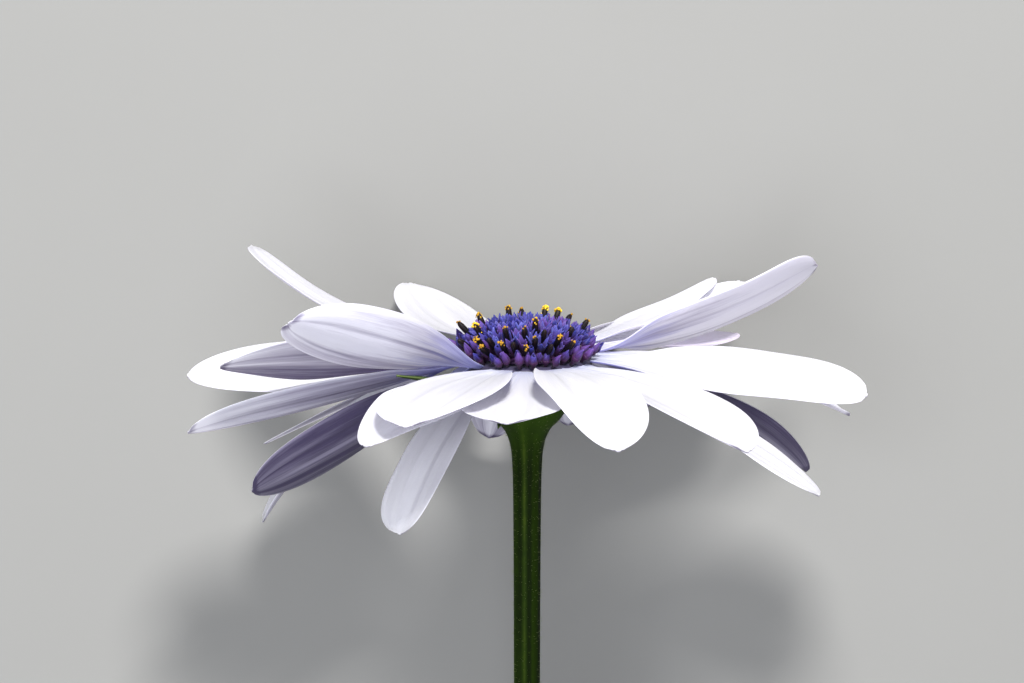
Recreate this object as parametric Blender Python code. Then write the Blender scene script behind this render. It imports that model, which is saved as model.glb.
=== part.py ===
"""A cut African daisy, lying on the tips of two back rays and the end of its stem.

It has three solids: the white ray florets, the blue disc florets with their anthers,
and the green stem with the cup and bracts that carry the head.
"""

import math
import random
from dataclasses import dataclass

import bmesh
import bpy
import numpy as np
from mathutils import Matrix, Vector

MM = 0.001

# The flower's own frame: +X right, +Y away from the viewer, +Z up along the stem.
# Its origin is the middle of the ring where the rays join, and lengths below are in millimetres.
RIM_RADIUS = 6.3
CLEARANCE = 0.3

# Ray florets
RAY_LENGTH = 28.0
RAY_WIDTH = 9.4
RAY_TROUGH = 25.0
RAY_THICKNESS = 0.6
ROOT_LENGTH = 1.3
ROOT_WIDTH_SHARE = 0.17
SWELL_END = 0.60
SWELL_POWER = 1.25
TIP_START = 0.58
TIP_WIDTH_SHARE = 0.19
TIP_FULLNESS = 2.6
TIP_ROUNDNESS = 0.55
TIP_UNCURL = 0.25
ARCH_POWER = 1.6
ROLL_RAMP = 0.30
RAY_ROWS = (0.0, 0.10, 0.24, 0.40, 0.56, 0.72, 0.85, 0.94, 1.0)
RAY_COLUMNS = 5
CENTRELINE_STEPS = 60
COLLAR_TOP = 0.45
COLLAR_PROFILE = (
    (-1.6, 4.5), (-1.6, 6.1), (-1.1, 6.7), (0.15, 6.7), (COLLAR_TOP, 6.3), (COLLAR_TOP, 4.5),
)
COLLAR_SIDES = 36

# Disc florets
CORE_RADIUS = 5.8
CORE_HEIGHT = 1.4
CORE_SIDES = 24
CORE_RING_SHARES = (1.0, 0.82, 0.64, 0.46, 0.28, 0.10)
DISC_FLORETS = 120
DISC_SPREAD = 5.6
GOLDEN_ANGLE = math.radians(137.508)
FLORET_LENGTH = 2.6
FLORET_LENGTH_SHARES = (0.85, 1.0)
FLORET_RADII = (0.38, 0.46)
FLORET_RINGS = ((0.0, 0.6), (0.62, 1.0))
FLORET_SIDES = 5
FLORET_SINK = 0.2
EDGE_LEAN = 55.0
LEAN_POWER = 2.0
ANTHER_RADIUS = 0.36
ANTHER_RINGS = ((0.0, 0.7), (0.9, 1.0))
ANTHER_EXTRAS = (0.45, 0.75)
FLORET_SEED = 7

# Stem, cup and bracts
STEM_LENGTH = 125.0
STEM_SIDES = 14
STEM_BOW = Vector((3.0, 1.5))
BOW_START = -35.0
BRACT_AZIMUTHS = (-172, -150, -127, -105, -83, -14, 8, 30, 53, 76, 98, 121, 143, 166)
BRACT_LENGTH = 8.0
BRACT_WIDTH = 2.2
BRACT_THICKNESS = 0.7
BRACT_BASE_RADIUS = 4.3
BRACT_BASE_HEIGHT = -3.3
BRACT_LEAST_DROOP = -15.0
BRACT_LESS_DROOP = 8.0
REACH_OF_A_RAY = 15.5
BRACT_WIDTH_SHARES = ((-0.08, 0.55), (0.22, 1.0), (0.5, 0.85), (0.8, 0.45), (1.0, 0.12))

# One longer bract stands up between two rays: its azimuth, droop and length
RAISED_BRACT = (-50.0, -18.0, 13.5)

PETAL_WHITE = (0.86, 0.86, 0.92)
DISC_BLUE = (0.09, 0.07, 0.35)
STEM_GREEN = (0.10, 0.19, 0.03)
PETAL_ROUGHNESS = 0.55
DISC_ROUGHNESS = 0.5
STEM_ROUGHNESS = 0.5
SHARP_ANGLE = math.radians(40)
TURN_STEPS = 12


@dataclass(frozen=True)
class Ray:
    """One ray floret. Angles are in degrees: azimuth 0 faces the viewer and 90 is the right side."""

    name: str
    azimuth: float
    rise: float
    arch: float
    roll: float = 0.0
    heading: float = 0.0
    length: float = RAY_LENGTH
    width: float = RAY_WIDTH
    trough: float = RAY_TROUGH
    fullness: float = TIP_FULLNESS


RAYS = (
    Ray("front", -3.5, 2, -4.5, roll=1.5, length=27.2, width=10.2, trough=12),
    Ray("front_left_upper", -22, 6.5, 11, roll=6.5, heading=2.5, width=11.5, trough=20),
    Ray("front_left_lower", -27.5, 1.5, 10.5, roll=-3, heading=0.5, width=8.8, trough=20, fullness=1.3),
    Ray("front_left_low", -28.5, -15.5, 41, roll=19, length=24, width=7.5, trough=22, fullness=5),
    Ray("front_right", 17.5, 11, 33, roll=-5, heading=-4, length=29, width=10, trough=27),
    Ray("right_upper", 40.5, 1, 19, roll=-7.5, heading=-1.5, length=27.6, width=10.5, trough=31),
    Ray("right_lower", 59.5, -14.5, 14, roll=-11.5, length=29.2, width=8.8, trough=14),
    Ray("right_long", 82, -3, 4, roll=16.5, heading=-3.5, length=29, trough=22, fullness=3.3),
    Ray("right_turned_under", 93.5, -18.5, 29, roll=-18, heading=6.5, length=27.3, trough=19),
    Ray("right_hidden", 97.5, -6, 22.5, roll=-3, length=28.9),
    Ray("back_right_flat", 136, -8.2, -3.5, roll=1.5, heading=2.5, length=27.3, width=9.8, trough=12),
    Ray("back_right_raised", 112, 4, -28.5, roll=-40, heading=-0.5, width=11, trough=22.5, fullness=4.9),
    Ray("back_right_second", 136.5, -7, -32.5, roll=-7.5, trough=15, fullness=3),
    Ray("back_right_third", 143, -3, -20.5, roll=-14, width=8.5, trough=11, fullness=1.3),
    Ray("back_right_foot", 166, -7.5, 7.5, roll=-6, length=26.6, width=10),
    Ray("left_turned_up", -50, 14.5, -12, roll=43, heading=2.5, length=26.5, width=10, trough=40),
    Ray("left_upper", -63, 8, 6.5, roll=34, heading=-2.5, length=27.5, width=12, trough=12.5, fullness=1.5),
    Ray("left_long", -87, -3.2, -1, roll=-18, length=28.7, width=9.6, trough=11),
    Ray("left_trough", -78, -14, -6, roll=27, length=29.6, width=11, trough=25, fullness=3.9),
    Ray("left_turned_under", -62, -27.5, -6, roll=54.5, heading=-8, length=26.2, width=8.5, fullness=3.5),
    Ray("left_edge_on", -121, -26, 3, roll=1, heading=2.5, length=29, width=8.2, trough=8),
    Ray("left_drooping", -92.5, -27, 34, roll=-4, length=28.3, width=8.2, trough=28),
    Ray("back_left_raised", -119, 2, -39, roll=18, length=29.2, width=10, trough=14, fullness=4.6),
    Ray("back_left_foot", -157.5, -8, -24, roll=6, heading=-1, length=28.8, width=8.8, trough=12),
    Ray("back_drooping_left", -171, -26.5, 29, roll=16.5, length=25.5, width=7.5, trough=29),
    Ray("back_drooping_right", 152, -20, 20, length=25),
    Ray("back_drooping_middle", 170, -26, 22, length=25),
)
FEET = ("back_left_foot", "back_right_foot")

# Where the dark anther tubes stand, as X and Y on the disc
ANTHERS = (
    (-3.7, 1.3), (-1.6, 1.4), (1.5, 2.9), (2.5, 2.6), (3.2, 3.9), (0.7, -2.7),
    (-3.9, -1.6), (-1.7, -3.5), (-3.7, -3.4), (-0.2, -3.8), (-2.8, -4.0), (-1.8, -4.8),
    (-1.0, -5.0), (-0.1, -5.3), (0.6, -4.6), (1.3, -3.9), (2.4, -4.0), (1.7, -5.0),
    (3.3, -4.1), (3.4, -2.4), (-4.9, -2.4), (-3.3, -4.4), (4.5, 1.2), (-4.9, 0.8),
    (-0.4, 4.6),
)

# The stem's and the cup's profile, from the cut end to the top of the cup: height and radius
STEM_PROFILE = (
    (-STEM_LENGTH, 1.27), (-100.0, 1.26), (-80.0, 1.25), (-60.0, 1.25), (-45.0, 1.25),
    (-34.5, 1.26), (-26.0, 1.27), (-18.0, 1.30), (-13.6, 1.36), (-11.2, 1.45), (-9.6, 1.62),
    (-8.4, 2.00), (-7.4, 2.50), (-6.5, 3.35), (-5.4, 4.10), (-4.2, 4.60), (-3.0, 5.00),
    (-2.0, 5.15), (-2.0, 4.00), (-0.1, 4.00),
)


def turned_to(azimuth):
    """The level direction that points outward at this azimuth, in radians."""
    return np.array([math.sin(azimuth), -math.cos(azimuth), 0.0])


def half_width(ray, share):
    """A ray's half width at a share of its length: a narrow claw, a broad middle and a round tip."""
    grown = math.sin(0.5 * math.pi * min(share / SWELL_END, 1.0)) ** SWELL_POWER
    swell = ROOT_WIDTH_SHARE + (1 - ROOT_WIDTH_SHARE) * grown
    towards_tip = max((share - TIP_START) / (1 - TIP_START), 0.0)
    rounded = (1 - towards_tip**ray.fullness) ** TIP_ROUNDNESS
    return 0.5 * ray.width * swell * max(rounded, TIP_WIDTH_SHARE)


def slope_at(ray, share):
    """The direction in which a ray's centreline runs at a share of its length."""
    elevation = math.radians(ray.rise - ray.arch * share**ARCH_POWER)
    outward = turned_to(math.radians(ray.azimuth + ray.heading))
    return outward * math.cos(elevation) + np.array([0.0, 0.0, math.sin(elevation)])


def centreline(ray, share):
    """The point of a ray's centreline at a share of its length, from its root in the collar."""
    start = turned_to(math.radians(ray.azimuth)) * RIM_RADIUS
    steps = max(int(CENTRELINE_STEPS * share), 1)
    middles = [(step + 0.5) / steps * share for step in range(steps)]
    return start + sum(slope_at(ray, middle) for middle in middles) * ray.length * share / steps


def ray_section(ray, share):
    """Points across a ray and the surface's normal at each: a trough that opens upward."""
    along = slope_at(ray, share)
    heading = math.radians(ray.azimuth + ray.heading)
    side = np.array([math.cos(heading), math.sin(heading), 0.0])
    up = np.cross(along, side)
    ramp = min(share / ROLL_RAMP, 1.0)
    roll = math.radians(ray.roll) * ramp * ramp * (3 - 2 * ramp)
    across = side * math.cos(roll) + up * math.sin(roll)
    above = up * math.cos(roll) - side * math.sin(roll)
    half = half_width(ray, share)
    curl = math.radians(ray.trough) * (1 - TIP_UNCURL * share)
    centre = centreline(ray, share)
    points, normals = [], []
    for place in np.linspace(-1, 1, RAY_COLUMNS):
        angle = place * curl
        offset = across * math.sin(angle) + above * (1 - math.cos(angle))
        points.append(centre + offset * half / curl)
        normals.append(above * math.cos(angle) - across * math.sin(angle))
    return np.array(points), np.array(normals)


def ray_sections(ray):
    """A ray's sections from its root, which reaches back into the collar, to its tip."""
    sections = [ray_section(ray, share) for share in RAY_ROWS]
    points, normals = sections[0]
    root = points - turned_to(math.radians(ray.azimuth)) * ROOT_LENGTH
    return [(root, normals), *sections]


def blade_mesh(name, sections, thickness):
    """A closed thin blade over a grid of points, split into triangles alike on both faces."""
    rows, columns = len(sections), len(sections[0][0])
    faces_up = [points + normals * thickness / 2 for points, normals in sections]
    faces_down = [points - normals * thickness / 2 for points, normals in sections]
    vertices = np.concatenate(faces_up + faces_down) * MM
    under = rows * columns
    triangles = []
    for row in range(rows - 1):
        for column in range(columns - 1):
            a = row * columns + column
            b, c, d = a + columns, a + columns + 1, a + 1
            triangles += [(a, c, b), (a, d, c)]
            triangles += [(a + under, b + under, c + under), (a + under, c + under, d + under)]
    rim = [row * columns for row in range(rows)]
    rim += [(rows - 1) * columns + column for column in range(1, columns)]
    rim += [row * columns + columns - 1 for row in range(rows - 2, -1, -1)]
    rim += list(range(columns - 2, 0, -1))
    for here, following in zip(rim, rim[1:] + rim[:1]):
        triangles += [(here, following, following + under), (here, following + under, here + under)]
    return closed_mesh(name, vertices, triangles)


def closed_mesh(name, vertices, faces):
    """A mesh from vertices in metres and faces, with its normals pointing out."""
    mesh = bpy.data.meshes.new(name)
    mesh.from_pydata([tuple(vertex) for vertex in vertices], [], faces)
    shape = bmesh.new()
    shape.from_mesh(mesh)
    bmesh.ops.recalc_face_normals(shape, faces=shape.faces)
    shape.to_mesh(mesh)
    shape.free()
    return mesh


def turned_mesh(name, profile, sides, centres=None, closed=False):
    """A solid turned round Z from a profile of height and radius, capped or closed in a ring."""
    vertices, faces = [], []
    for index, (height, radius) in enumerate(profile):
        centre = centres[index] if centres else Vector((0.0, 0.0))
        for side in range(sides):
            angle = 2 * math.pi * side / sides
            vertices.append(
                (
                    (centre.x + radius * math.cos(angle)) * MM,
                    (centre.y + radius * math.sin(angle)) * MM,
                    height * MM,
                )
            )
    rings = len(profile)
    for ring in range(rings if closed else rings - 1):
        following = (ring + 1) % rings
        for side in range(sides):
            beside = (side + 1) % sides
            faces.append(
                (
                    ring * sides + side,
                    ring * sides + beside,
                    following * sides + beside,
                    following * sides + side,
                )
            )
    if not closed:
        faces.append(tuple(range(sides)))
        faces.append(tuple((rings - 1) * sides + side for side in range(sides)))
    return closed_mesh(name, vertices, faces)


def collar_mesh():
    """The ring of grown-together floret bases that the rays spring from."""
    return turned_mesh("ray_collar", COLLAR_PROFILE, COLLAR_SIDES, closed=True)


def core_height(radius):
    """The height of the domed core under the disc florets."""
    return COLLAR_TOP + CLEARANCE + CORE_HEIGHT * (1 - (radius / CORE_RADIUS) ** 2)


def core_mesh():
    """The domed core that the disc florets stand on."""
    radii = [CORE_RADIUS * share for share in CORE_RING_SHARES]
    return turned_mesh("disc_core", [(core_height(radius), radius) for radius in radii], CORE_SIDES)


def lean_frame(place, lean):
    """Three directions of a floret on the disc: along it, outward across it and round it."""
    azimuth = math.atan2(place.y, place.x)
    outward = Vector((math.cos(azimuth), math.sin(azimuth), 0.0))
    up = Vector((0.0, 0.0, 1.0))
    along = outward * math.sin(lean) + up * math.cos(lean)
    across = outward * math.cos(lean) - up * math.sin(lean)
    return along, across, along.cross(across)


def peg_mesh(name, place, length, thickness, rings, turn):
    """A leaning, pointed peg rooted in the core. Its rings are shares of its length and thickness."""
    lean = math.radians(EDGE_LEAN) * (place.length / DISC_SPREAD) ** LEAN_POWER
    along, across, round_it = lean_frame(place, lean)
    root = Vector((place.x, place.y, core_height(place.length))) - along * FLORET_SINK
    whole = length + FLORET_SINK
    vertices, faces = [], []
    for share, thick in rings:
        for side in range(FLORET_SIDES):
            angle = turn + 2 * math.pi * side / FLORET_SIDES
            around = across * math.cos(angle) + round_it * math.sin(angle)
            vertices.append((root + along * whole * share + around * thickness * thick) * MM)
    vertices.append((root + along * whole) * MM)
    for side in range(FLORET_SIDES):
        beside = (side + 1) % FLORET_SIDES
        faces.append((side, beside, FLORET_SIDES + beside, FLORET_SIDES + side))
        faces.append((FLORET_SIDES + side, FLORET_SIDES + beside, 2 * FLORET_SIDES))
    faces.append(tuple(range(FLORET_SIDES)))
    return closed_mesh(name, vertices, faces)


def disc_peg_meshes():
    """The disc florets on a spiral, and the thicker anther tubes among them."""
    draw = random.Random(FLORET_SEED)
    meshes = []
    for index in range(DISC_FLORETS):
        radius = DISC_SPREAD * math.sqrt((index + 0.5) / DISC_FLORETS)
        angle = index * GOLDEN_ANGLE
        place = Vector((radius * math.cos(angle), radius * math.sin(angle)))
        length = FLORET_LENGTH * draw.uniform(*FLORET_LENGTH_SHARES)
        thickness = draw.uniform(*FLORET_RADII)
        turn = draw.uniform(0, math.pi)
        meshes.append(peg_mesh("disc_floret", place, length, thickness, FLORET_RINGS, turn))
    for x, y in ANTHERS:
        place = Vector((x, y))
        length = FLORET_LENGTH + draw.uniform(*ANTHER_EXTRAS)
        turn = draw.uniform(0, math.pi)
        meshes.append(peg_mesh("anther", place, length, ANTHER_RADIUS, ANTHER_RINGS, turn))
    return meshes


def stem_centre(height):
    """Where the stem's axis runs at a height: straight under the head, then slightly bowed."""
    share = max((height - BOW_START) / (-STEM_LENGTH - BOW_START), 0.0)
    return STEM_BOW * share * share


def stem_mesh():
    """The stem and the cup at its top, with a boss that stands inside the collar."""
    centres = [stem_centre(height) for height, _ in STEM_PROFILE]
    return turned_mesh("stem", STEM_PROFILE, STEM_SIDES, centres)


def bract_droop(azimuth):
    """How steeply a bract must droop to stay under the rays near it, in degrees."""
    near = [
        -ray.rise - BRACT_LESS_DROOP
        for ray in RAYS
        if abs((ray.azimuth - azimuth + 180) % 360 - 180) < REACH_OF_A_RAY
    ]
    return max([BRACT_LEAST_DROOP, *near])


def bract_sections(azimuth, droop, length):
    """A bract's sections from inside the cup to its point."""
    droop = math.radians(droop)
    outward = turned_to(math.radians(azimuth))
    side = np.array([math.cos(math.radians(azimuth)), math.sin(math.radians(azimuth)), 0.0])
    up = np.array([0.0, 0.0, 1.0])
    along = outward * math.cos(droop) - up * math.sin(droop)
    normal = outward * math.sin(droop) + up * math.cos(droop)
    base = outward * BRACT_BASE_RADIUS + up * BRACT_BASE_HEIGHT
    sections = []
    for share, width_share in BRACT_WIDTH_SHARES:
        half = BRACT_WIDTH / 2 * width_share
        centre = base + along * length * share
        points = np.array([centre - side * half, centre, centre + side * half])
        sections.append((points, np.array([normal, normal, normal])))
    return sections


def bract_meshes():
    """A ring of pointed bracts under the rays, one of them raised."""
    bracts = [(azimuth, bract_droop(azimuth), BRACT_LENGTH) for azimuth in BRACT_AZIMUTHS]
    return [
        blade_mesh("bract", bract_sections(*bract), BRACT_THICKNESS)
        for bract in (*bracts, RAISED_BRACT)
    ]


def finish(name, colour, roughness):
    """A plain material with the piece's colour."""
    material = bpy.data.materials.new(name)
    material.use_nodes = True
    shader = material.node_tree.nodes["Principled BSDF"]
    shader.inputs["Base Color"].default_value = (*colour, 1.0)
    shader.inputs["Roughness"].default_value = roughness
    shader.inputs["Metallic"].default_value = 0.0
    return material


def fused(name, base_mesh, piece_meshes, material):
    """One closed solid of the base and every piece that grows from it."""
    base = bpy.data.objects.new(name, base_mesh)
    bpy.context.scene.collection.objects.link(base)
    pieces = bpy.data.collections.new(name + "_pieces")
    bpy.context.scene.collection.children.link(pieces)
    for mesh in piece_meshes:
        pieces.objects.link(bpy.data.objects.new(mesh.name, mesh))
    union = base.modifiers.new("Union", "BOOLEAN")
    union.operation = "UNION"
    union.operand_type = "COLLECTION"
    union.collection = pieces
    union.solver = "EXACT"
    bpy.context.view_layer.update()
    united = base.evaluated_get(bpy.context.evaluated_depsgraph_get())
    whole = bpy.data.meshes.new_from_object(united)
    base.modifiers.clear()
    base.data = whole
    for piece in list(pieces.objects):
        bpy.data.objects.remove(piece)
    bpy.data.collections.remove(pieces)
    whole.materials.clear()
    whole.materials.append(material)
    whole.shade_smooth()
    whole.set_sharp_from_angle(angle=SHARP_ANGLE)
    return base


def lowest(points, turn):
    """The lowest of some points once turned."""
    return min((turn @ Vector(point) for point in points), key=lambda point: point.z)


def foot_points(name):
    """All corners of one of the rays that the flower lies on, in metres."""
    ray = next(ray for ray in RAYS if ray.name == name)
    corners = []
    for points, normals in ray_sections(ray):
        corners += [points + normals * RAY_THICKNESS / 2, points - normals * RAY_THICKNESS / 2]
    return np.concatenate(corners) * MM


def cut_end_points():
    """The rim of the stem's cut end, in metres."""
    centre = stem_centre(-STEM_LENGTH).to_3d() - Vector((0.0, 0.0, STEM_LENGTH))
    radius = STEM_PROFILE[0][1]
    angles = [2 * math.pi * side / STEM_SIDES for side in range(STEM_SIDES)]
    return [
        (centre + Vector((math.cos(angle), math.sin(angle), 0.0)) * radius) * MM
        for angle in angles
    ]


def lying_turn():
    """The turn that lays the flower on its two feet and the rim of its cut end."""
    turn = Matrix.Rotation(math.radians(-90), 3, "X")
    groups = [foot_points(name) for name in FEET] + [cut_end_points()]
    for _ in range(TURN_STEPS):
        left, right, end = (lowest(points, turn) for points in groups)
        upward = (right - left).cross(left - end).normalized()
        if upward.z < 0:
            upward.negate()
        turn = upward.rotation_difference(Vector((0.0, 0.0, 1.0))).to_matrix() @ turn
    return turn


def lay_down(objects):
    """Hangs the pieces on an empty that lays them down with the middle of their base at the origin."""
    turn = lying_turn()
    corners = np.array([turn @ vertex.co for piece in objects for vertex in piece.data.vertices])
    low, high = corners.min(axis=0), corners.max(axis=0)
    pose = bpy.data.objects.new("lying_pose", None)
    bpy.context.scene.collection.objects.link(pose)
    shift = Vector((-(low[0] + high[0]) / 2, -(low[1] + high[1]) / 2, -low[2]))
    pose.matrix_world = Matrix.Translation(shift) @ turn.to_4x4()
    for piece in objects:
        piece.parent = pose


def main():
    for existing in list(bpy.data.objects):
        bpy.data.objects.remove(existing)
    rays = [blade_mesh(ray.name, ray_sections(ray), RAY_THICKNESS) for ray in RAYS]
    petal = finish("petal_white", PETAL_WHITE, PETAL_ROUGHNESS)
    disc = finish("disc_blue", DISC_BLUE, DISC_ROUGHNESS)
    green = finish("stem_green", STEM_GREEN, STEM_ROUGHNESS)
    lay_down(
        (
            fused("ray_florets", collar_mesh(), rays, petal),
            fused("disc_florets", core_mesh(), disc_peg_meshes(), disc),
            fused("stem_and_bracts", stem_mesh(), bract_meshes(), green),
        )
    )


if __name__ == "__main__":
    main()
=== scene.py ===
"""The looks of a cut African daisy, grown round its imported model.

Each piece is modelled in the flower's own frame, upright and in millimetres, and is then laid
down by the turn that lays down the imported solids, which it replaces.
"""

import math
import random
from dataclasses import dataclass

import bmesh
import bpy
import numpy as np
from bpy.props import FloatProperty, FloatVectorProperty, IntProperty, PointerProperty
from mathutils import Matrix, Vector


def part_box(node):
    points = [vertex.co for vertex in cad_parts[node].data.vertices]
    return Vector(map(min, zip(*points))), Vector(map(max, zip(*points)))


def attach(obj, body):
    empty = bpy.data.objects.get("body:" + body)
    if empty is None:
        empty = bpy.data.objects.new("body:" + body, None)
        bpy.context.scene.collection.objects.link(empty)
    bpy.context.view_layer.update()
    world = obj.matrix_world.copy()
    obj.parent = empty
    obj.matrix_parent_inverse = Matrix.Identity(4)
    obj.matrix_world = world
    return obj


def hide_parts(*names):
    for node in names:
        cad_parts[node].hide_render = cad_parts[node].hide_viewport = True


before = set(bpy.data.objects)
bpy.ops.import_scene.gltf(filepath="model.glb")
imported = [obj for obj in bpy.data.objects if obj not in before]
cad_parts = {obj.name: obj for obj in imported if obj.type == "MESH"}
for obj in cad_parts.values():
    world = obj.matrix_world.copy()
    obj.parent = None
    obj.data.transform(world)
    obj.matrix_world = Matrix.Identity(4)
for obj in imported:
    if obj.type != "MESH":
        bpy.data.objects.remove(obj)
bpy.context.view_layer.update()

bl_info = {
    "name": "Cut African Daisy",
    "version": (1, 0, 0),
    "blender": (4, 5, 0),
    "location": "3D View > Sidebar > Daisy",
    "description": "Grows the petals, florets, stem and bracts of a cut African daisy",
    "category": "Add Mesh",
}

MM = 0.001

# The flower's own frame: +X right, +Y away from the viewer, +Z up along the stem.
# Its origin is the middle of the ring where the rays join, and lengths below are in millimetres.
RIGHT, AWAY, UP = np.eye(3)
RIM_RADIUS = 6.3
CLEARANCE = 0.3

# Ray florets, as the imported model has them
RAY_LENGTH = 28.0
RAY_WIDTH = 9.4
RAY_TROUGH = 25.0
SOLID_RAY_THICKNESS = 0.6
ROOT_LENGTH = 1.3
ROOT_WIDTH_SHARE = 0.17
SWELL_END = 0.60
SWELL_POWER = 1.25
TIP_START = 0.58
TIP_WIDTH_SHARE = 0.19
TIP_FULLNESS = 2.6
TIP_ROUNDNESS = 0.55
TIP_UNCURL = 0.25
ARCH_POWER = 1.6
ROLL_RAMP = 0.30
SOLID_RAY_ROWS = (0.0, 0.10, 0.24, 0.40, 0.56, 0.72, 0.85, 0.94, 1.0)
SOLID_RAY_COLUMNS = 5
CENTRELINE = np.linspace(0.0, 1.0, 121)

# The fine surface of a ray
RAY_ROWS = 76
RAY_COLUMNS = 41
RAY_SEED = 100
RAY_VALUES = ("along", "across", "under", "seed", "dusk", "blush")
TIP_ZONE = 0.93
TIP_PULL = 0.014
NOTCH_PLACE = 0.40
NOTCH_WIDTH = 0.15
NOTCH_DEPTH = 0.004
GROOVE_PLACE = 0.38
GROOVE_WIDTH = 0.075
VEINS = 8
VEIN_HEIGHT = 0.012
RELIEF_RISE = 0.12
RELIEF_FADE_START, RELIEF_FADE = 0.80, 0.20
EDGE_WAVES = (1.1, 2.1)
EDGE_WAVE_RISE = 0.3
EDGE_THICKNESS_SHARE = 0.28
EDGE_THINNING_POWER = 2.5
TIP_THINNING = 0.45

# The collar that the rays spring from, as heights and radii
COLLAR_TOP = 0.45
COLLAR_PROFILE = ((-1.6, 4.5), (-1.6, 6.1), (-1.1, 6.7), (0.15, 6.7), (0.45, 6.3), (0.45, 4.5))
COLLAR_SIDES = 96
COLLAR_DUSK = 1.3

# Disc florets and their core
CORE_RADIUS = 5.8
CORE_HEIGHT = 1.4
CORE_SIDES = 48
CORE_RINGS = 12
DISC_FLORETS = 120
DISC_SPREAD = 5.6
DISC_VALUES = ("along", "seed", "inner")
GOLDEN_ANGLE = math.radians(137.508)
FLORET_LENGTH = 2.6
FLORET_SINK = 0.2
EDGE_LEAN = math.radians(55)
LEAN_POWER = 2.0
FLORET_LENGTH_SHARES = (0.85, 1.0)
FLORET_RADII = (0.38, 0.46)
FLORET_SEED, LOBE_SEED, POLLEN_SEED, BUD_SEED = 7, 8, 9, 10

# Where florets begin to close towards the disc's edge, and over how far, as shares of its radius.
# A seed from 0 to 1 tints a floret from blue to purple, and a closed bud's is never below the least.
CLOSING_START = 0.78
CLOSING_SPAN = 0.18
BUD_LEAST_SEED = 0.45

# A floret's tube, as shares of its length and thickness, up to its mouth and back into its throat.
# The third number is 1 where a closed bud swells.
TUBE_PROFILE = (
    (0.0, 0.42, 0), (0.16, 0.50, 0), (0.26, 0.62, 1), (0.36, 0.86, 1), (0.46, 1.0, 0),
    (0.47, 0.90, 0), (0.42, 0.72, 0), (0.32, 0.40, 0),
)
THROAT_RINGS = 3
TUBE_SIDES = 15
TUBE_FLUTING = 0.06
BUD_SWELLING = 0.22

# The lobes at a floret's mouth. Flare is their lean at the foot, and curl is added by the tip.
LOBES = 5
LOBE_ROWS = 8
LOBE_COLUMNS = 5
MOUTH_PLACE = 0.42
LOBE_FOOT = 0.88
LOBE_CUP = -0.55
LOBE_THICKNESS = 0.09
LOBE_EDGE_THINNING = 0.5
LOBE_LEAST_WIDTH = 0.04
LOBE_TAPER_POWER = 2.2
LOBE_TIP_ROUNDNESS = 0.9
LOBE_FOOT_WIDTH = 0.9
LOBE_BELLY = 0.25
LOBE_LENGTHS = (0.6, 1.0)
LOBE_WIDTHS = (0.75, 1.1)
LOBE_FLARES = (0.7, 1.2)
OPEN_FLARE = (3, 18)
OPEN_CURL = (-18, 16)
BUD_FLARE = 8
BUD_CURL = 22
BUD_LOBE_WIDENING = 0.15

# The ring of closed buds at the disc's foot
BUDS = 44
BUD_LENGTH = 2.5
BUD_LENGTHS = (0.7, 1.1)
BUD_RADII = (5.85, 6.45)
BUD_FOOT = 0.45
BUD_LEANS = (22, 50)
BUD_SCATTER = 0.4

# Anther tubes, as shares of their length and thickness, and the pollen on them
ANTHER_PROFILE = (
    (0.0, 0.45), (0.3, 0.55), (0.48, 0.78), (0.62, 0.96), (0.74, 1.0), (0.84, 0.96),
    (0.91, 0.84), (0.96, 0.62), (0.985, 0.40), (1.0, 0.14),
)
ANTHER_EXTRAS = (0.45, 0.75)
ANTHER_SIDES = 25
ANTHER_FLUTING = 0.07
MOST_GRAINS = 34
GRAIN_SIZES = (0.55, 1.25)
GRAIN_STRETCH = (0.75, 1.25)
GRAIN_SEEDS = (0.4, 1.1)

# How high grains lie, as shares of an anther's length, and how far out, as shares of its radius.
# More pollen scatters further down, and grains sit further out below the tip.
GRAIN_TOP = 1.02
GRAIN_SCATTER, SCATTER_BY_AMOUNT = 0.05, 0.06
TIP_GRAINS_OUT, SIDE_GRAINS_FURTHER = 0.25, 0.95
SIDE_START, SIDE_SPAN = 1.03, 0.10
GRAIN_OUT_SHARES = (0.6, 1.1)

# The stem and cup, as heights and radii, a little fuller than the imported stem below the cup
STEM_LENGTH = 125.0
STEM_PROFILE = (
    (-STEM_LENGTH, 1.27), (-100.0, 1.26), (-80.0, 1.26), (-60.0, 1.29), (-45.0, 1.35),
    (-34.5, 1.38), (-26.0, 1.40), (-18.0, 1.44), (-13.6, 1.49), (-11.2, 1.56), (-9.6, 1.70),
    (-8.4, 2.00), (-7.4, 2.50), (-6.5, 3.35), (-5.4, 4.10), (-4.2, 4.60), (-3.0, 5.00),
    (-2.0, 5.15),
)
BOSS_PROFILE = ((-2.0, 4.00), (-0.1, 4.00))
STEM_BOW = np.array([3.0, 1.5])
BOW_START = -35.0
STEM_SIDES = 72
STEM_VALUES = ("height", "rib", "pith")
RIB_LEVEL = 0.7
RIB_WANDER = 0.25
RIB_WANDER_RATE = 0.11
STEM_RUNS = ((-STEM_LENGTH, -18, 120), (-17.5, -2.0, 60))
SOLID_STEM_SIDES = 14

# The two sets of ribs, by how many stand round the stem, how high, and how they follow the wander
RIB_SETS = ((7, 0.32, 1.0), (11, 0.18, -1.3))

# The cut end's dish, as shares of its radius and how far in they lie
CUT_DISH = ((0.10, 0.05), (0.40, 0.07), (0.70, 0.05), (0.86, 0.0), (0.96, 0.0))

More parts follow.
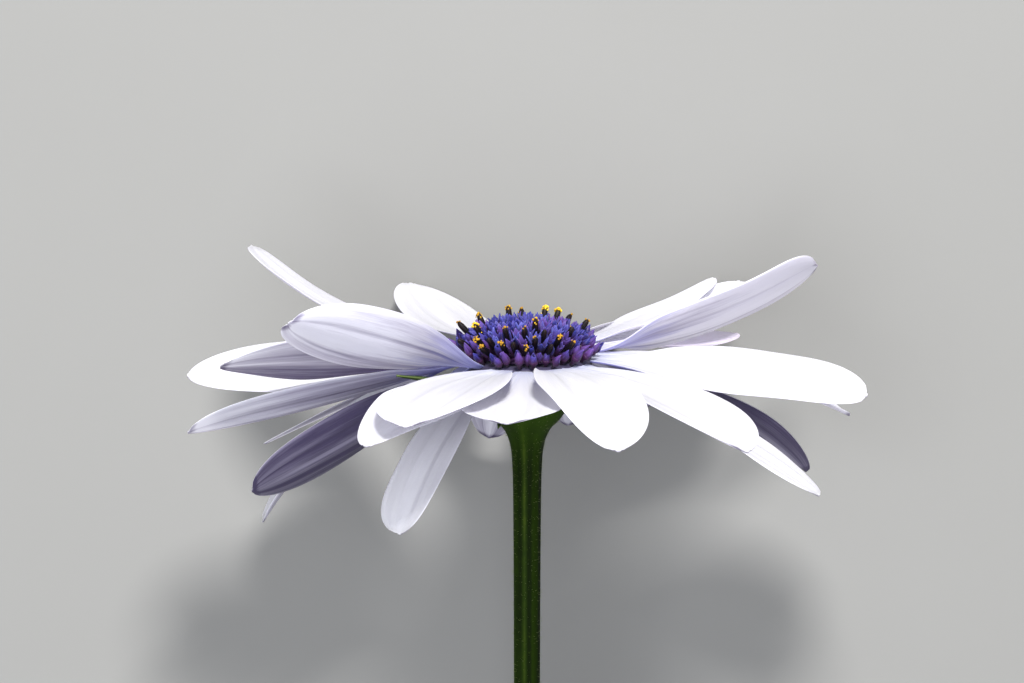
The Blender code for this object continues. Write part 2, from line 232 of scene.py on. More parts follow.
# Hairs. Their faces join two rings of three corners and a tip.
HAIR_SEED = 41
HAIR_TOP = -3.5
HAIR_REACH = STEM_LENGTH - 5.0
HAIR_CROWDING = 1.7
HAIR_RADIUS = 0.016
HAIR_TAPER = 0.7
HAIR_SINK = 0.05
HAIR_LENGTHS = (0.4, 1.0)
HAIR_RISES = (-0.3, 0.8)
HAIR_SWAYS = (-0.4, 0.4)
HAIR_BENDS = (0.0, 0.7)
HAIR_FACES = ((0, 1, 4, 3), (1, 2, 5, 4), (2, 0, 3, 5), (3, 4, 6), (4, 5, 6), (5, 3, 6), (0, 2, 1))

# Bracts. The raised one is given by its azimuth, droop and length.
BRACT_AZIMUTHS = (-172, -150, -127, -105, -83, -14, 8, 30, 53, 76, 98, 121, 143, 166)
BRACT_LENGTH = 8.0
RAISED_BRACT = (-50.0, -18.0, 13.5)
BRACT_BASE_RADIUS = 4.3
BRACT_BASE_HEIGHT = -3.3
BRACT_LEAST_DROOP = -15.0
BRACT_LESS_DROOP = 8.0
REACH_OF_A_RAY = 15.5
BRACT_ROOT_SHARE = -0.08
BRACT_WIDTH_SHARES = (
    (BRACT_ROOT_SHARE, 0.55), (0.22, 1.0), (0.5, 0.85), (0.8, 0.45), (1.0, 0.04),
)
BRACT_ROWS = 24
BRACT_COLUMNS = 11
BRACT_BOW = 0.30
BRACT_BOW_SHARES = (0.2, 1.0)
BRACT_EDGE_THINNING = 0.7
BRACT_TIP_THINNING = 0.5
BRACT_KEEL = 0.16
BRACT_KEEL_WIDTH = 0.3
BRACT_CUP = 0.35
BRACT_SEED = 23
BRACT_VALUES = ("along", "across", "seed")

# Steps that settle how the flower lies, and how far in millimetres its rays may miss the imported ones
TURN_STEPS = 12
FIT = 0.1


@dataclass(frozen=True)
class Ray:
    """One ray floret. Angles are in degrees: azimuth 0 faces the viewer and 90 is the right side.

    Its underside's violet runs from 0, pale, to 1, dark, partly its own colour and partly painted shade
    where other rays shadow it. A tilt across adds more at the edge with the larger azimuth, as painted
    shade and light across the ray. A lilac tint paints shade and light passing through the ray.
    """

    name: str
    azimuth: float
    rise: float
    arch: float
    roll: float = 0.0
    heading: float = 0.0
    length: float = RAY_LENGTH
    width: float = RAY_WIDTH
    trough: float = RAY_TROUGH
    fullness: float = TIP_FULLNESS
    dusk: float = 0.6
    painted_shade_slant: float = 0.0
    blush: float = 0.0


# Each ray's violet, its tilt across and its lilac tint are partly painted shade and light, set for how
# light falls on that ray.
RAYS = (
    Ray("front", -3.5, 2, -4.5, roll=1.5, length=27.2, width=10.2, trough=12),
    Ray("front_left_upper", -22, 6.5, 11, roll=6.5, heading=2.5, width=11.5, trough=20),
    Ray("front_left_lower", -27.5, 1.5, 10.5, roll=-3, heading=0.5, width=8.8, trough=20, fullness=1.3),
    Ray("front_left_low", -28.5, -15.5, 41, roll=19, length=24, width=7.5, trough=22, fullness=5),
    Ray("front_right", 17.5, 11, 33, roll=-5, heading=-4, length=29, width=10, trough=27),
    Ray("right_upper", 40.5, 1, 19, roll=-7.5, heading=-1.5, length=27.6, width=10.5, trough=31),
    Ray("right_lower", 59.5, -14.5, 14, roll=-11.5, length=29.2, width=8.8, trough=14),
    Ray("right_long", 82, -3, 4, roll=16.5, heading=-3.5, length=29, trough=22, fullness=3.3),
    Ray("right_turned_under", 93.5, -18.5, 29, roll=-18, heading=6.5, length=27.3, trough=19, dusk=1.2),
    Ray("right_hidden", 97.5, -6, 22.5, roll=-3, length=28.9),
    Ray(
        "back_right_flat", 136, -8.2, -3.5, roll=1.5, heading=2.5, length=27.3, width=9.8, trough=12,
        dusk=0.0, blush=0.8,
    ),
    Ray(
        "back_right_raised", 112, 4, -28.5, roll=-40, heading=-0.5, width=11, trough=22.5, fullness=4.9,
        dusk=0.15, painted_shade_slant=0.25, blush=0.2,
    ),
    Ray("back_right_second", 136.5, -7, -32.5, roll=-7.5, trough=15, fullness=3, dusk=0.1),
    Ray("back_right_third", 143, -3, -20.5, roll=-14, width=8.5, trough=11, fullness=1.3, dusk=0.2),
    Ray("back_right_foot", 166, -7.5, 7.5, roll=-6, length=26.6, width=10),
    Ray(
        "left_turned_up", -50, 14.5, -12, roll=43, heading=2.5, length=26.5, width=10, trough=40,
        dusk=0.34, painted_shade_slant=-0.15,
    ),
    Ray(
        "left_upper", -63, 8, 6.5, roll=34, heading=-2.5, length=27.5, width=12, trough=12.5,
        fullness=1.5, dusk=0.86, painted_shade_slant=-0.5,
    ),
    Ray("left_long", -87, -3.2, -1, roll=-18, length=28.7, width=9.6, trough=11),
    Ray(
        "left_trough", -78, -14, -6, roll=27, length=29.6, width=11, trough=25, fullness=3.9,
        dusk=0.46, painted_shade_slant=-0.3,
    ),
    Ray(
        "left_turned_under", -62, -27.5, -6, roll=54.5, heading=-8, length=26.2, width=8.5,
        fullness=3.5, dusk=1.15,
    ),
    Ray("left_edge_on", -121, -26, 3, roll=1, heading=2.5, length=29, width=8.2, trough=8),
    Ray("left_drooping", -92.5, -27, 34, roll=-4, length=28.3, width=8.2, trough=28),
    Ray("back_left_raised", -119, 2, -39, roll=18, length=29.2, width=10, trough=14, fullness=4.6),
    Ray("back_left_foot", -157.5, -8, -24, roll=6, heading=-1, length=28.8, width=8.8, trough=12),
    Ray("back_drooping_left", -171, -26.5, 29, roll=16.5, length=25.5, width=7.5, trough=29),
    Ray("back_drooping_right", 152, -20, 20, length=25),
    Ray("back_drooping_middle", 170, -26, 22, length=25),
)
# The two rays that the lying flower rests on
FEET = ("back_left_foot", "back_right_foot")

# Where the dark anther tubes stand, as X and Y on the disc, and how much pollen each carries
ANTHERS = (
    (-3.7, 1.3, 0.5), (-1.6, 1.4, 0.35), (1.5, 2.9, 1.0), (2.5, 2.6, 0.8), (3.2, 3.9, 0.05),
    (0.7, -2.7, 0.5), (-3.9, -1.6, 0.9), (-1.7, -3.5, 0.25), (-3.7, -3.4, 0.4), (-0.2, -3.8, 0.1),
    (-2.8, -4.0, 0.0), (-1.8, -4.8, 0.3), (-1.0, -5.0, 0.0), (-0.1, -5.3, 0.2), (0.6, -4.6, 0.1),
    (1.3, -3.9, 0.0), (2.4, -4.0, 0.3), (1.7, -5.0, 0.0), (3.3, -4.1, 0.2), (3.4, -2.4, 0.05),
    (-4.9, -2.4, 0.0), (-3.3, -4.4, 0.25), (4.5, 1.2, 0.1), (-4.9, 0.8, 0.2), (-0.4, 4.6, 0.2),
)


def eased(share):
    """A share from 0 to 1 with a soft start and end, and flat outside."""
    held = np.clip(share, 0.0, 1.0)
    return held * held * (3 - 2 * held)


def turned_to(azimuth):
    """The level direction that points outward at this azimuth, in degrees."""
    angle = math.radians(azimuth)
    return np.array([math.sin(angle), -math.cos(angle), 0.0])


def half_width(ray, shares):
    """A ray's half width at shares of its length: a narrow claw, a broad middle and a round tip."""
    grown = np.sin(0.5 * np.pi * np.clip(shares / SWELL_END, 0, 1)) ** SWELL_POWER
    swell = ROOT_WIDTH_SHARE + (1 - ROOT_WIDTH_SHARE) * grown
    towards_tip = np.clip((shares - TIP_START) / (1 - TIP_START), 0, 1)
    rounded = np.maximum(1 - towards_tip**ray.fullness, 0.0) ** TIP_ROUNDNESS
    return 0.5 * ray.width * swell * np.maximum(rounded, TIP_WIDTH_SHARE)


def slopes(ray, shares):
    """The directions in which a ray's centreline runs at shares of its length."""
    elevation = np.radians(ray.rise - ray.arch * shares**ARCH_POWER)
    outward = turned_to(ray.azimuth + ray.heading)
    return np.outer(np.cos(elevation), outward) + np.outer(np.sin(elevation), UP)


def ray_frames(ray):
    """A ray's centreline, and its directions across and above, at the shares in CENTRELINE."""
    steps = slopes(ray, (CENTRELINE[1:] + CENTRELINE[:-1]) / 2) * ray.length * CENTRELINE[1]
    start = turned_to(ray.azimuth) * RIM_RADIUS
    centre = np.vstack([start, start + np.cumsum(steps, axis=0)])
    heading = math.radians(ray.azimuth + ray.heading)
    side = np.array([math.cos(heading), math.sin(heading), 0.0])
    up = np.cross(slopes(ray, CENTRELINE), side)
    roll = math.radians(ray.roll) * eased(CENTRELINE / ROLL_RAMP)[:, None]
    across = side * np.cos(roll) + up * np.sin(roll)
    above = up * np.cos(roll) - side * np.sin(roll)
    return centre, across, above


def sampled(values, shares):
    """Rows of values, known at the shares in CENTRELINE, read at a grid of shares."""
    return np.stack([np.interp(shares, CENTRELINE, values[:, axis]) for axis in range(3)], axis=-1)


def ray_surface(ray, shares, places):
    """Points and upward normals of a ray's middle surface, over grids of shares and places."""
    inside = np.clip(shares, 0.0, 1.0)
    centre, across, above = (sampled(values, inside) for values in ray_frames(ray))
    behind_rim = np.minimum(shares, 0.0)[..., None] * ray.length
    centre = centre + turned_to(ray.azimuth) * behind_rim
    curl = math.radians(ray.trough) * (1 - TIP_UNCURL * inside)
    angle = (places * curl)[..., None]
    reach = (half_width(ray, inside) / curl)[..., None]
    points = centre + (across * np.sin(angle) + above * (1 - np.cos(angle))) * reach
    normals = above * np.cos(angle) - across * np.sin(angle)
    return points, normals


def solid_ray_corners(ray):
    """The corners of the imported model's solid for a ray."""
    root = -ROOT_LENGTH / ray.length
    shares, places = np.meshgrid(
        (root, *SOLID_RAY_ROWS), np.linspace(-1, 1, SOLID_RAY_COLUMNS), indexing="ij"
    )
    points, normals = ray_surface(ray, shares, places)
    shift = normals * SOLID_RAY_THICKNESS / 2
    return np.concatenate([points + shift, points - shift]).reshape(-1, 3)


def stem_centre(height):
    """Where the stem's axis runs at a height: straight under the head, then slightly bowed."""
    share = max((height - BOW_START) / (-STEM_LENGTH - BOW_START), 0.0)
    return STEM_BOW * share * share


def cut_end_corners():
    """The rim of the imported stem's cut end."""
    x, y = stem_centre(-STEM_LENGTH)
    angles = np.arange(SOLID_STEM_SIDES) * 2 * math.pi / SOLID_STEM_SIDES
    radius = STEM_PROFILE[0][1]
    flat = np.full(SOLID_STEM_SIDES, -STEM_LENGTH)
    return np.stack([x + radius * np.cos(angles), y + radius * np.sin(angles), flat], axis=-1)


def lying_turn():
    """The turn that lays the flower on its two feet and the rim of its cut end."""
    turn = Matrix.Rotation(math.radians(-90), 3, "X")
    groups = [solid_ray_corners(ray) for ray in RAYS if ray.name in FEET] + [cut_end_corners()]
    for _ in range(TURN_STEPS):
        turned = [points @ np.array(turn).T for points in groups]
        left, right, end = (Vector(points[points[:, 2].argmin()]) for points in turned)
        upward = (right - left).cross(left - end).normalized()
        if upward.z < 0:
            upward.negate()
        turn = upward.rotation_difference(Vector((0.0, 0.0, 1.0))).to_matrix() @ turn
    return np.array(turn)


def lying_pose():
    """The turn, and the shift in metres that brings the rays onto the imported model's rays."""
    turn = lying_turn()
    corners = np.concatenate([solid_ray_corners(ray) for ray in RAYS]) @ turn.T * MM
    low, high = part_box("ray_florets")
    shift = np.array(low) - corners.min(axis=0)
    if np.abs(corners.max(axis=0) + shift - np.array(high)).max() > FIT * MM:
        raise RuntimeError("the rays don't fit the packed model's rays")
    return turn, shift


TURN, SHIFT = lying_pose()


def laid_down(points):
    """Points in the flower's frame, in millimetres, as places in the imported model's frame."""
    return np.asarray(points) @ TURN.T * MM + SHIFT


def laid_vector(direction):
    """A direction in the flower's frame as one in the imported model's frame."""
    return Vector(TURN @ np.asarray(direction, float))


def added(name, data):
    """A new object in the scene, by its name and its mesh, light or camera."""
    thing = bpy.data.objects.new(name, data)
    bpy.context.scene.collection.objects.link(thing)
    return thing


class Growth:
    """Vertices, faces and painted values that grow into one mesh."""

    def __init__(self, *values):
        self.vertices, self.faces, self.count = [], [], 0
        self.values = {name: [] for name in values}

    def add(self, vertices, faces, **values):
        """Adds a closed shape. Each value is one number, or one for each vertex."""
        vertices = np.asarray(vertices).reshape(-1, 3)
        self.vertices.append(vertices)
        self.faces += [tuple(int(corner) + self.count for corner in face) for face in faces]
        self.count += len(vertices)
        for name, parts in self.values.items():
            parts.append(np.broadcast_to(np.ravel(values[name]), (len(vertices),)))

    def add_blade(self, middle, upward, downward, side_name=None, **values):
        """Adds a closed blade round a grid of points, and paints both its sides with each grid.

        The side's name is a value that is 0 on the upper side and 1 on the lower one.
        """
        rows, columns = middle.shape[:2]
        for name, value in values.items():
            if np.ndim(value):
                values[name] = np.tile(np.ravel(value), 2)
        if side_name:
            values[side_name] = np.repeat([0.0, 1.0], rows * columns)
        points = np.stack([middle + upward, middle - downward])
        self.add(points, shell_faces(rows, columns), **values)

    def grown(self, name, material, node, slot):
        """The piece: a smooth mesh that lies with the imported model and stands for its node."""
        mesh = bpy.data.meshes.new(name)
        mesh.from_pydata(laid_down(np.concatenate(self.vertices)).tolist(), [], self.faces)
        for value, parts in self.values.items():
            attribute = mesh.attributes.new(value, "FLOAT", "POINT")
            attribute.data.foreach_set("value", np.concatenate(parts).astype(np.float32))
        shape = bmesh.new()
        shape.from_mesh(mesh)
        bmesh.ops.recalc_face_normals(shape, faces=shape.faces)
        shape.to_mesh(mesh)
        shape.free()
        mesh.shade_smooth()
        mesh.materials.append(material)
        piece = added(name, mesh)
        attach(piece, "root")
        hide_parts(node)
        return piece


def shell_faces(rows, columns):
    """Quads of a closed blade: an upper grid, a lower grid and the strip round their rim."""
    grid = np.arange(rows * columns).reshape(rows, columns)
    under = rows * columns
    a, b = grid[:-1, :-1].ravel(), grid[1:, :-1].ravel()
    c, d = grid[1:, 1:].ravel(), grid[:-1, 1:].ravel()
    rim = np.concatenate([grid[:, 0], grid[-1, 1:], grid[-2::-1, -1], grid[0, -2:0:-1]])
    following = np.roll(rim, -1)
    upper = np.stack([a, d, c, b], axis=-1)
    lower = np.stack([a, b, c, d], axis=-1) + under
    strip = np.stack([rim, following, following + under, rim + under], axis=-1)
    return np.concatenate([upper, lower, strip]).tolist()


def loft_faces(rings, sides, looped=False):
    """Quads between rings of like sides, with a cap at each end or a last strip to the first ring."""
    faces = []
    for ring in range(rings if looped else rings - 1):
        low, high = ring * sides, (ring + 1) % rings * sides
        for side in range(sides):
            beside = (side + 1) % sides
            faces.append((low + side, low + beside, high + beside, high + side))
    if not looped:
        faces.append(tuple(range(sides)))
        faces.append(tuple((rings - 1) * sides + side for side in range(sides)))
    return faces


def ring_of(centre, first, second, radii):
    """A closed ring of points round a centre, with a radius for each."""
    angles = np.arange(len(radii)) * 2 * np.pi / len(radii)
    return centre + np.outer(radii * np.cos(angles), first) + np.outer(radii * np.sin(angles), second)


def level_rings(profile, sides):
    """Level rings round the flower's axis, by their heights and radii."""
    return [ring_of(UP * height, RIGHT, AWAY, np.full(sides, radius)) for height, radius in profile]


class Nodes:
    """A material's node tree, built by short calls that return sockets."""

    def __init__(self, name):
        self.material = bpy.data.materials.new(name)
        self.material.use_nodes = True
        self.tree = self.material.node_tree
        self.shader = self.tree.nodes["Principled BSDF"]
        self.output = self.tree.nodes["Material Output"]

    def put(self, socket, value):
        """Links a socket to another, or gives it a plain value."""
        if isinstance(value, bpy.types.NodeSocket):
            self.tree.links.new(value, socket)
        elif hasattr(socket.default_value, "__len__") and len(value) < len(socket.default_value):
            socket.default_value = (*value, 1.0)
        else:
            socket.default_value = value

    def node(self, kind, inputs, **settings):
        """A new node with these settings, and with inputs by their names or numbers."""
        node = self.tree.nodes.new(kind)
        for name, value in settings.items():
            setattr(node, name, value)
        for key, value in inputs.items():
            self.put(node.inputs[key], value)
        return node

    def attributes(self, *names):
        """Painted values."""
        kind = "ShaderNodeAttribute"
        return [self.node(kind, {}, attribute_name=name).outputs["Fac"] for name in names]

    def sum(self, operation, *terms, clamp=False):
        """One step of arithmetic."""
        inputs = dict(enumerate(terms))
        return self.node("ShaderNodeMath", inputs, operation=operation, use_clamp=clamp).outputs[0]

    def scaled(self, value, gain, clamp=False):
        """A value times a gain."""
        return self.sum("MULTIPLY", value, gain, clamp=clamp)

    def swayed(self, base, other, gain):
        """A value moved up or down by how far another stands from 0.5."""
        return self.sum("MULTIPLY_ADD", self.sum("SUBTRACT", other, 0.5), gain, base)

    def span(self, value, low, high, at_low=0.0, at_high=1.0):
        """A value that eases from one number to another as its source goes from low to high."""
        inputs = dict(enumerate((value, low, high, at_low, at_high)))
        return self.node("ShaderNodeMapRange", inputs, interpolation_type="SMOOTHSTEP").outputs[0]

    def object_place(self):
        """The place on the object, in metres."""
        return self.node("ShaderNodeTexCoord", {}).outputs["Object"]

    def noise(self, place, scale, detail=3.0, roughness=0.5):
        """Cloudy noise round 0.5."""
        inputs = {"Vector": place, "Scale": scale, "Detail": detail, "Roughness": roughness}
        return self.node("ShaderNodeTexNoise", inputs).outputs["Fac"]

    def streaks(self, values, crowding, detail, roughness=0.6):
        """Noise drawn out along a blade, by how crowded it is in each of three values."""
        crowded = [self.scaled(value, times) for value, times in zip(values, crowding)]
        place = self.node("ShaderNodeCombineXYZ", dict(enumerate(crowded))).outputs[0]
        return self.noise(place, 1.0, detail, roughness)

    def mix(self, share, first, second):
        """A colour between two others."""
        inputs = {0: share, 6: first, 7: second}
        return self.node("ShaderNodeMix", inputs, data_type="RGBA", clamp_factor=True).outputs[2]

    def bump(self, height, distance, strength=1.0):
        """Relief too fine for the mesh, by a distance in metres."""
        inputs = {"Height": height, "Distance": distance, "Strength": strength}
        normal = self.node("ShaderNodeBump", inputs).outputs[0]
        self.put(self.shader.inputs["Normal"], normal)
        return normal

    def surface(self, colour, roughness, specular=0.4, sheen=0.0):
        """Sets the reflecting surface."""
        self.put(self.shader.inputs["Base Color"], colour)
        self.put(self.shader.inputs["Roughness"], roughness)
        self.shader.inputs["Specular IOR Level"].default_value = specular
        self.shader.inputs["Sheen Weight"].default_value = sheen

    def let_light_through(self, colour, share, normal):
        """Lets a share of the light pass through, dyed by a colour."""
        glow = self.node("ShaderNodeBsdfTranslucent", {"Color": colour, "Normal": normal})
        inputs = {0: share, 1: self.shader.outputs[0], 2: glow.outputs[0]}
        both = self.node("ShaderNodeMixShader", inputs)
        self.put(self.output.inputs["Surface"], both.outputs[0])


def colour_property(name, description, default):
    """A colour that a user may change."""
    return FloatVectorProperty(
        name=name, description=description, default=default, subtype="COLOR", size=3, min=0, max=1
    )


def size_property(name, description, default):
    """A length in metres that a user may change."""
    return FloatProperty(
        name=name, description=description, default=default, min=0, unit="LENGTH", precision=5
    )


def share_property(name, description, default):
    """A share from 0 to 1 that a user may change."""
    return FloatProperty(
        name=name, description=description, default=default, min=0, max=1, subtype="FACTOR"
    )


def power_property(name, description, default):
    """A light's power in watts that a user may change."""
    return FloatProperty(name=name, description=description, default=default, unit="POWER")


class DaisyRayLooks(bpy.types.PropertyGroup):
    """Sizes and colours of the ray florets."""

    thickness: size_property("Thickness", "Thickness of a ray along its middle", 0.00038)
    groove_depth: size_property("Groove Depth", "Depth of the two grooves under a ray", 0.00010)
    ripple: size_property("Ripple", "How far a ray's edges wave up and down", 0.00016)
    glow: share_property("Glow", "Share of the light that passes into a ray", 0.55)
    white: colour_property("Upper Side", "Colour of a ray's upper side", (0.90, 0.905, 0.93))
    pale: colour_property("Pale Underside", "Palest colour of the undersides", (0.68, 0.67, 0.77))
    violet: colour_property("Violet Underside", "Middle colour of the undersides", (0.25, 0.225, 0.335))
    dark: colour_property("Dark Underside", "Darkest colour of the undersides", (0.048, 0.040, 0.085))
    base: colour_property("Base", "Colour of a ray next to the disc", (0.32, 0.37, 0.78))


class DaisyDiscLooks(bpy.types.PropertyGroup):
    """Sizes and colours of the disc florets, anther tubes and pollen."""

    lobe_width: size_property("Lobe Width", "Width of a lobe of a disc floret", 0.00066)
    mouth_share: share_property("Mouth", "Radius of a floret's mouth, as a share of its peg", 0.95)
    anther_radius: size_property("Anther Radius", "Radius of an anther tube", 0.00031)
    grain_radius: size_property("Grain Radius", "Radius of a clot of pollen", 0.00010)
    # The floret foot colour also serves as the painted shade between the florets.
    base: colour_property("Floret Base", "Colour of a disc floret at its foot", (0.030, 0.004, 0.030))
    middle: colour_property("Floret Middle", "Colour of a disc floret's tube", (0.020, 0.012, 0.090))
    tip: colour_property("Floret Tip", "Colour of the lobes' tips", (0.023, 0.026, 0.205))
    anther: colour_property("Anther", "Colour of the anther tubes", (0.004, 0.003, 0.005))
    pollen: colour_property("Pollen", "Colour of the pollen", (0.90, 0.60, 0.030))


class DaisyStemLooks(bpy.types.PropertyGroup):
    """Sizes and colours of the stem, cup and bracts."""

    hairs: IntProperty(name="Hairs", description="Number of hairs on the stem", default=2600, min=0)
    hair_length: size_property("Hair Length", "Length of the longest hairs", 0.00042)
    rib_height: size_property("Rib Height", "Height of the stem's lengthwise ribs", 0.00006)
    bract_width: size_property("Bract Width", "Width of a bract", 0.0022)
    bract_thickness: size_property("Bract Thickness", "Thickness of a bract", 0.00050)
    # The stem colours are partly its own dark green and partly painted shade for the head's shadow on
    # it.
    green: colour_property("Stem", "Main colour of the stem", (0.010, 0.022, 0.001))
    dark: colour_property("Furrows", "Colour between the stem's ribs", (0.004, 0.009, 0.0005))
    light: colour_property("Ribs", "Colour of the stem's ribs", (0.032, 0.052, 0.005))
    bract: colour_property("Bracts", "Main colour of the bracts", (0.032, 0.070, 0.006))


class DaisyStageLooks(bpy.types.PropertyGroup):
    """The floor, lights and camera."""

    floor: colour_property("Floor", "Colour of the floor", (0.19, 0.19, 0.185))
    key: power_property("Key Light", "Power of the key light", 6.2)
    fill: power_property("Fill Light", "Power of the fill light", 4.4)
    sky: share_property("Sky", "Strength of the even light from all round", 0.52)
    distance: size_property("Camera Distance", "From the camera to the flower's head", 0.400)


# How far each of these moves the violet under a ray, where 1 is the way from palest to darkest
CLOUD_GAIN, STREAK_GAIN, LINE_GAIN = 0.95, 0.95, 0.45
GROOVE_SHADE_GAIN, MARGIN_GAIN, PAINTED_SHEEN_GAIN = 0.22, -0.18, -0.36
TIP_GAIN, LENGTH_GAIN = 0.7, -0.60

# Tints of a ray, and of the light that passes through it
VEIN_TINT = (0.70, 0.69, 0.86)
# Lilac tint of painted shade and of light passing through a ray
LILAC_SHADE_TINT = (0.82, 0.62, 0.90)
WHITE_GLOW = (0.97, 0.97, 1.0)
PALE_GLOW = (0.93, 0.92, 0.97)
DARK_GLOW = (0.16, 0.13, 0.24)
BASE_GLOW = (0.22, 0.20, 0.70)


def ray_pigment(nodes, along, beside, dusk, noises):
    """How much violet an underside holds: clouds, streaks, lines, edges, painted groove shade and
    sheen.
    """
    # Painted shade: the underside is darker along its two grooves.
    from_groove = nodes.sum("ABSOLUTE", nodes.sum("SUBTRACT", beside, GROOVE_PLACE))
    groove = nodes.span(from_groove, 0.0, 0.09, 1.0, 0.0)
    margin = nodes.span(beside, 0.80, 1.0)
    # Painted sheen: a pale band down the middle of the underside.
    painted_sheen = nodes.span(beside, 0.0, 0.30, 1.0, 0.0)
    pigment = dusk
    for noise, gain in zip(noises, (CLOUD_GAIN, STREAK_GAIN, LINE_GAIN)):
        pigment = nodes.swayed(pigment, noise, gain)
    pigment = nodes.sum("MULTIPLY_ADD", groove, GROOVE_SHADE_GAIN, pigment)
    pigment = nodes.sum("MULTIPLY_ADD", margin, MARGIN_GAIN, pigment)
    pigment = nodes.sum("ADD", pigment, nodes.span(along, 0.965, 1.0, 0.0, TIP_GAIN))
    pigment = nodes.sum("MULTIPLY_ADD", painted_sheen, PAINTED_SHEEN_GAIN, pigment)
    return nodes.swayed(pigment, along, LENGTH_GAIN)


def ray_material(looks):
    """A ray's white side and streaked violet underside by painted values, some with painted lilac
    shade.
    """
    nodes = Nodes("ray_floret")
    along, across, under, seed, dusk, blush = nodes.attributes(*RAY_VALUES)
    places = (across, along, seed)
    clouds = nodes.streaks(places, (2.8, 1.3, 9.1), 2.0, 0.5)
    streaks = nodes.streaks(places, (8.5, 1.7, 7.3), 5.0)
    lines = nodes.streaks(places, (46.0, 7.0, 5.7), 3.0)
    beside = nodes.sum("ABSOLUTE", across)
    pigment = ray_pigment(nodes, along, beside, dusk, (clouds, streaks, lines))
    low_half = nodes.mix(nodes.scaled(pigment, 2.0, clamp=True), looks.pale, looks.violet)
    high_share = nodes.sum("MULTIPLY_ADD", pigment, 2.0, -1.0, clamp=True)
    underside = nodes.mix(high_share, low_half, looks.dark)

    base_end = nodes.sum("MULTIPLY_ADD", streaks, 0.85, -0.10)
    base_share = nodes.sum("SUBTRACT", 1.0, nodes.sum("DIVIDE", along, base_end), clamp=True)
    base_above = nodes.scaled(nodes.sum("POWER", base_share, 3.0), 0.45)
    lower = nodes.mix(nodes.scaled(base_share, 0.7), underside, looks.base)
    veins = nodes.scaled(nodes.span(streaks, 0.45, 0.75), 0.18)
    upper = nodes.mix(base_above, nodes.mix(veins, looks.white, VEIN_TINT), looks.base)
    # Painted shade and through-light: the lilac value tints the whole ray lilac.
    colour = nodes.mix(nodes.scaled(blush, 0.5), nodes.mix(under, upper, lower), LILAC_SHADE_TINT)

    relief = nodes.sum("MULTIPLY_ADD", streaks, 0.6, nodes.scaled(lines, 0.4))
    normal = nodes.bump(relief, 0.00012, 0.55)
    nodes.surface(colour, nodes.span(streaks, 0.3, 0.7, 0.42, 0.56), specular=0.35, sheen=0.12)
    glow_under = nodes.mix(nodes.scaled(pigment, 0.9, clamp=True), PALE_GLOW, DARK_GLOW)
    glow_under = nodes.mix(nodes.scaled(base_share, 0.8), glow_under, BASE_GLOW)
    nodes.let_light_through(nodes.mix(under, WHITE_GLOW, glow_under), looks.glow, normal)
    return nodes.material


def ray_tip_shares(shares, places):
    """Shares of a ray's length, pulled back at its tip into a rounder end with faint notches."""
    near_tip = eased((shares - TIP_ZONE) / (1 - TIP_ZONE))
    notch = np.exp(-(((np.abs(places) - NOTCH_PLACE) / NOTCH_WIDTH) ** 2))
    return shares - near_tip * (TIP_PULL * places**2 + NOTCH_DEPTH * notch)


def ray_relief(shares, places, looks, draw):
    """How far a ray's surface stands above its smooth middle surface, in millimetres."""
    ends = eased(shares / RELIEF_RISE) * (1 - eased((shares - RELIEF_FADE_START) / RELIEF_FADE))
    beside = np.abs(places)
    groove = np.exp(-(((beside - GROOVE_PLACE) / GROOVE_WIDTH) ** 2)) * looks.groove_depth / MM
    veins = VEIN_HEIGHT * np.cos(2 * np.pi * VEINS * places / 2 + draw.uniform(0, 6))
    waves = draw.uniform(*EDGE_WAVES)
    left, right = draw.uniform(0, 1), draw.uniform(0, 1)
    phase = np.where(places < 0, left, right)
    ripple = looks.ripple / MM * beside**3 * np.sin(2 * np.pi * (waves * shares + phase))
    return (groove + veins) * ends + ripple * eased(shares / EDGE_WAVE_RISE)


def ray_blade(ray, index, looks):
    """One ray as a thin closed blade with grooves, waved edges and a rounded tip."""
    draw = random.Random(RAY_SEED + index)
    rows = np.concatenate([[-ROOT_LENGTH / ray.length], np.sin(np.linspace(0, np.pi / 2, RAY_ROWS))])
    shares, places = np.meshgrid(rows, np.linspace(-1, 1, RAY_COLUMNS), indexing="ij")
    points, normals = ray_surface(ray, ray_tip_shares(shares, places), places)
    middle = points + normals * ray_relief(shares, places, looks, draw)[..., None]
    bulge = 1 - np.abs(places) ** EDGE_THINNING_POWER
    towards_edge = EDGE_THICKNESS_SHARE + (1 - EDGE_THICKNESS_SHARE) * bulge
    thin_tip = 1 - TIP_THINNING * np.clip(shares, 0, 1)
    half = normals * (looks.thickness / MM / 2 * towards_edge * thin_tip)[..., None]
    growth = Growth(*RAY_VALUES)
    # Painted shade: the underside's violet and its tilt across partly stand for shadow from other rays.
    values = {"seed": draw.uniform(0, 10), "dusk": ray.dusk + ray.painted_shade_slant * places, "blush": ray.blush}
    growth.add_blade(middle, half, half, "under", along=shares, across=places, **values)
    return growth


def collar_growth():
    """The ring of grown-together claws that the rays spring from."""
    growth = Growth(*RAY_VALUES)
    rings = level_rings(COLLAR_PROFILE, COLLAR_SIDES)
    faces = loft_faces(len(rings), COLLAR_SIDES, looped=True)
    growth.add(rings, faces, along=0.3, across=0.0, under=1.0, seed=3.0, dusk=COLLAR_DUSK, blush=0.0)
    return growth


class DAISY_OT_add_rays(bpy.types.Operator):
    """Add the white ray florets and the collar that they spring from"""

    bl_idname = "daisy.add_rays"
    bl_label = "Add Ray Florets"
    bl_options = {"REGISTER", "UNDO"}

    def execute(self, context):
        looks = context.scene.daisy_rays
        material = ray_material(looks)
        for index, ray in enumerate(RAYS):
            ray_blade(ray, index, looks).grown("ray_" + ray.name, material, "ray_florets", "petal")
        collar_growth().grown("ray_collar", material, "ray_florets", "petal")
        return {"FINISHED"}


# Tints of some disc florets, of their insides, and of the light that passes through them
PURPLE_TINT = (0.13, 0.05, 0.24)
BLUE_TINT = (0.14, 0.16, 0.56)
INSIDE_TINT = (0.12, 0.10, 0.42)
FLORET_GLOW = (0.16, 0.12, 0.50)


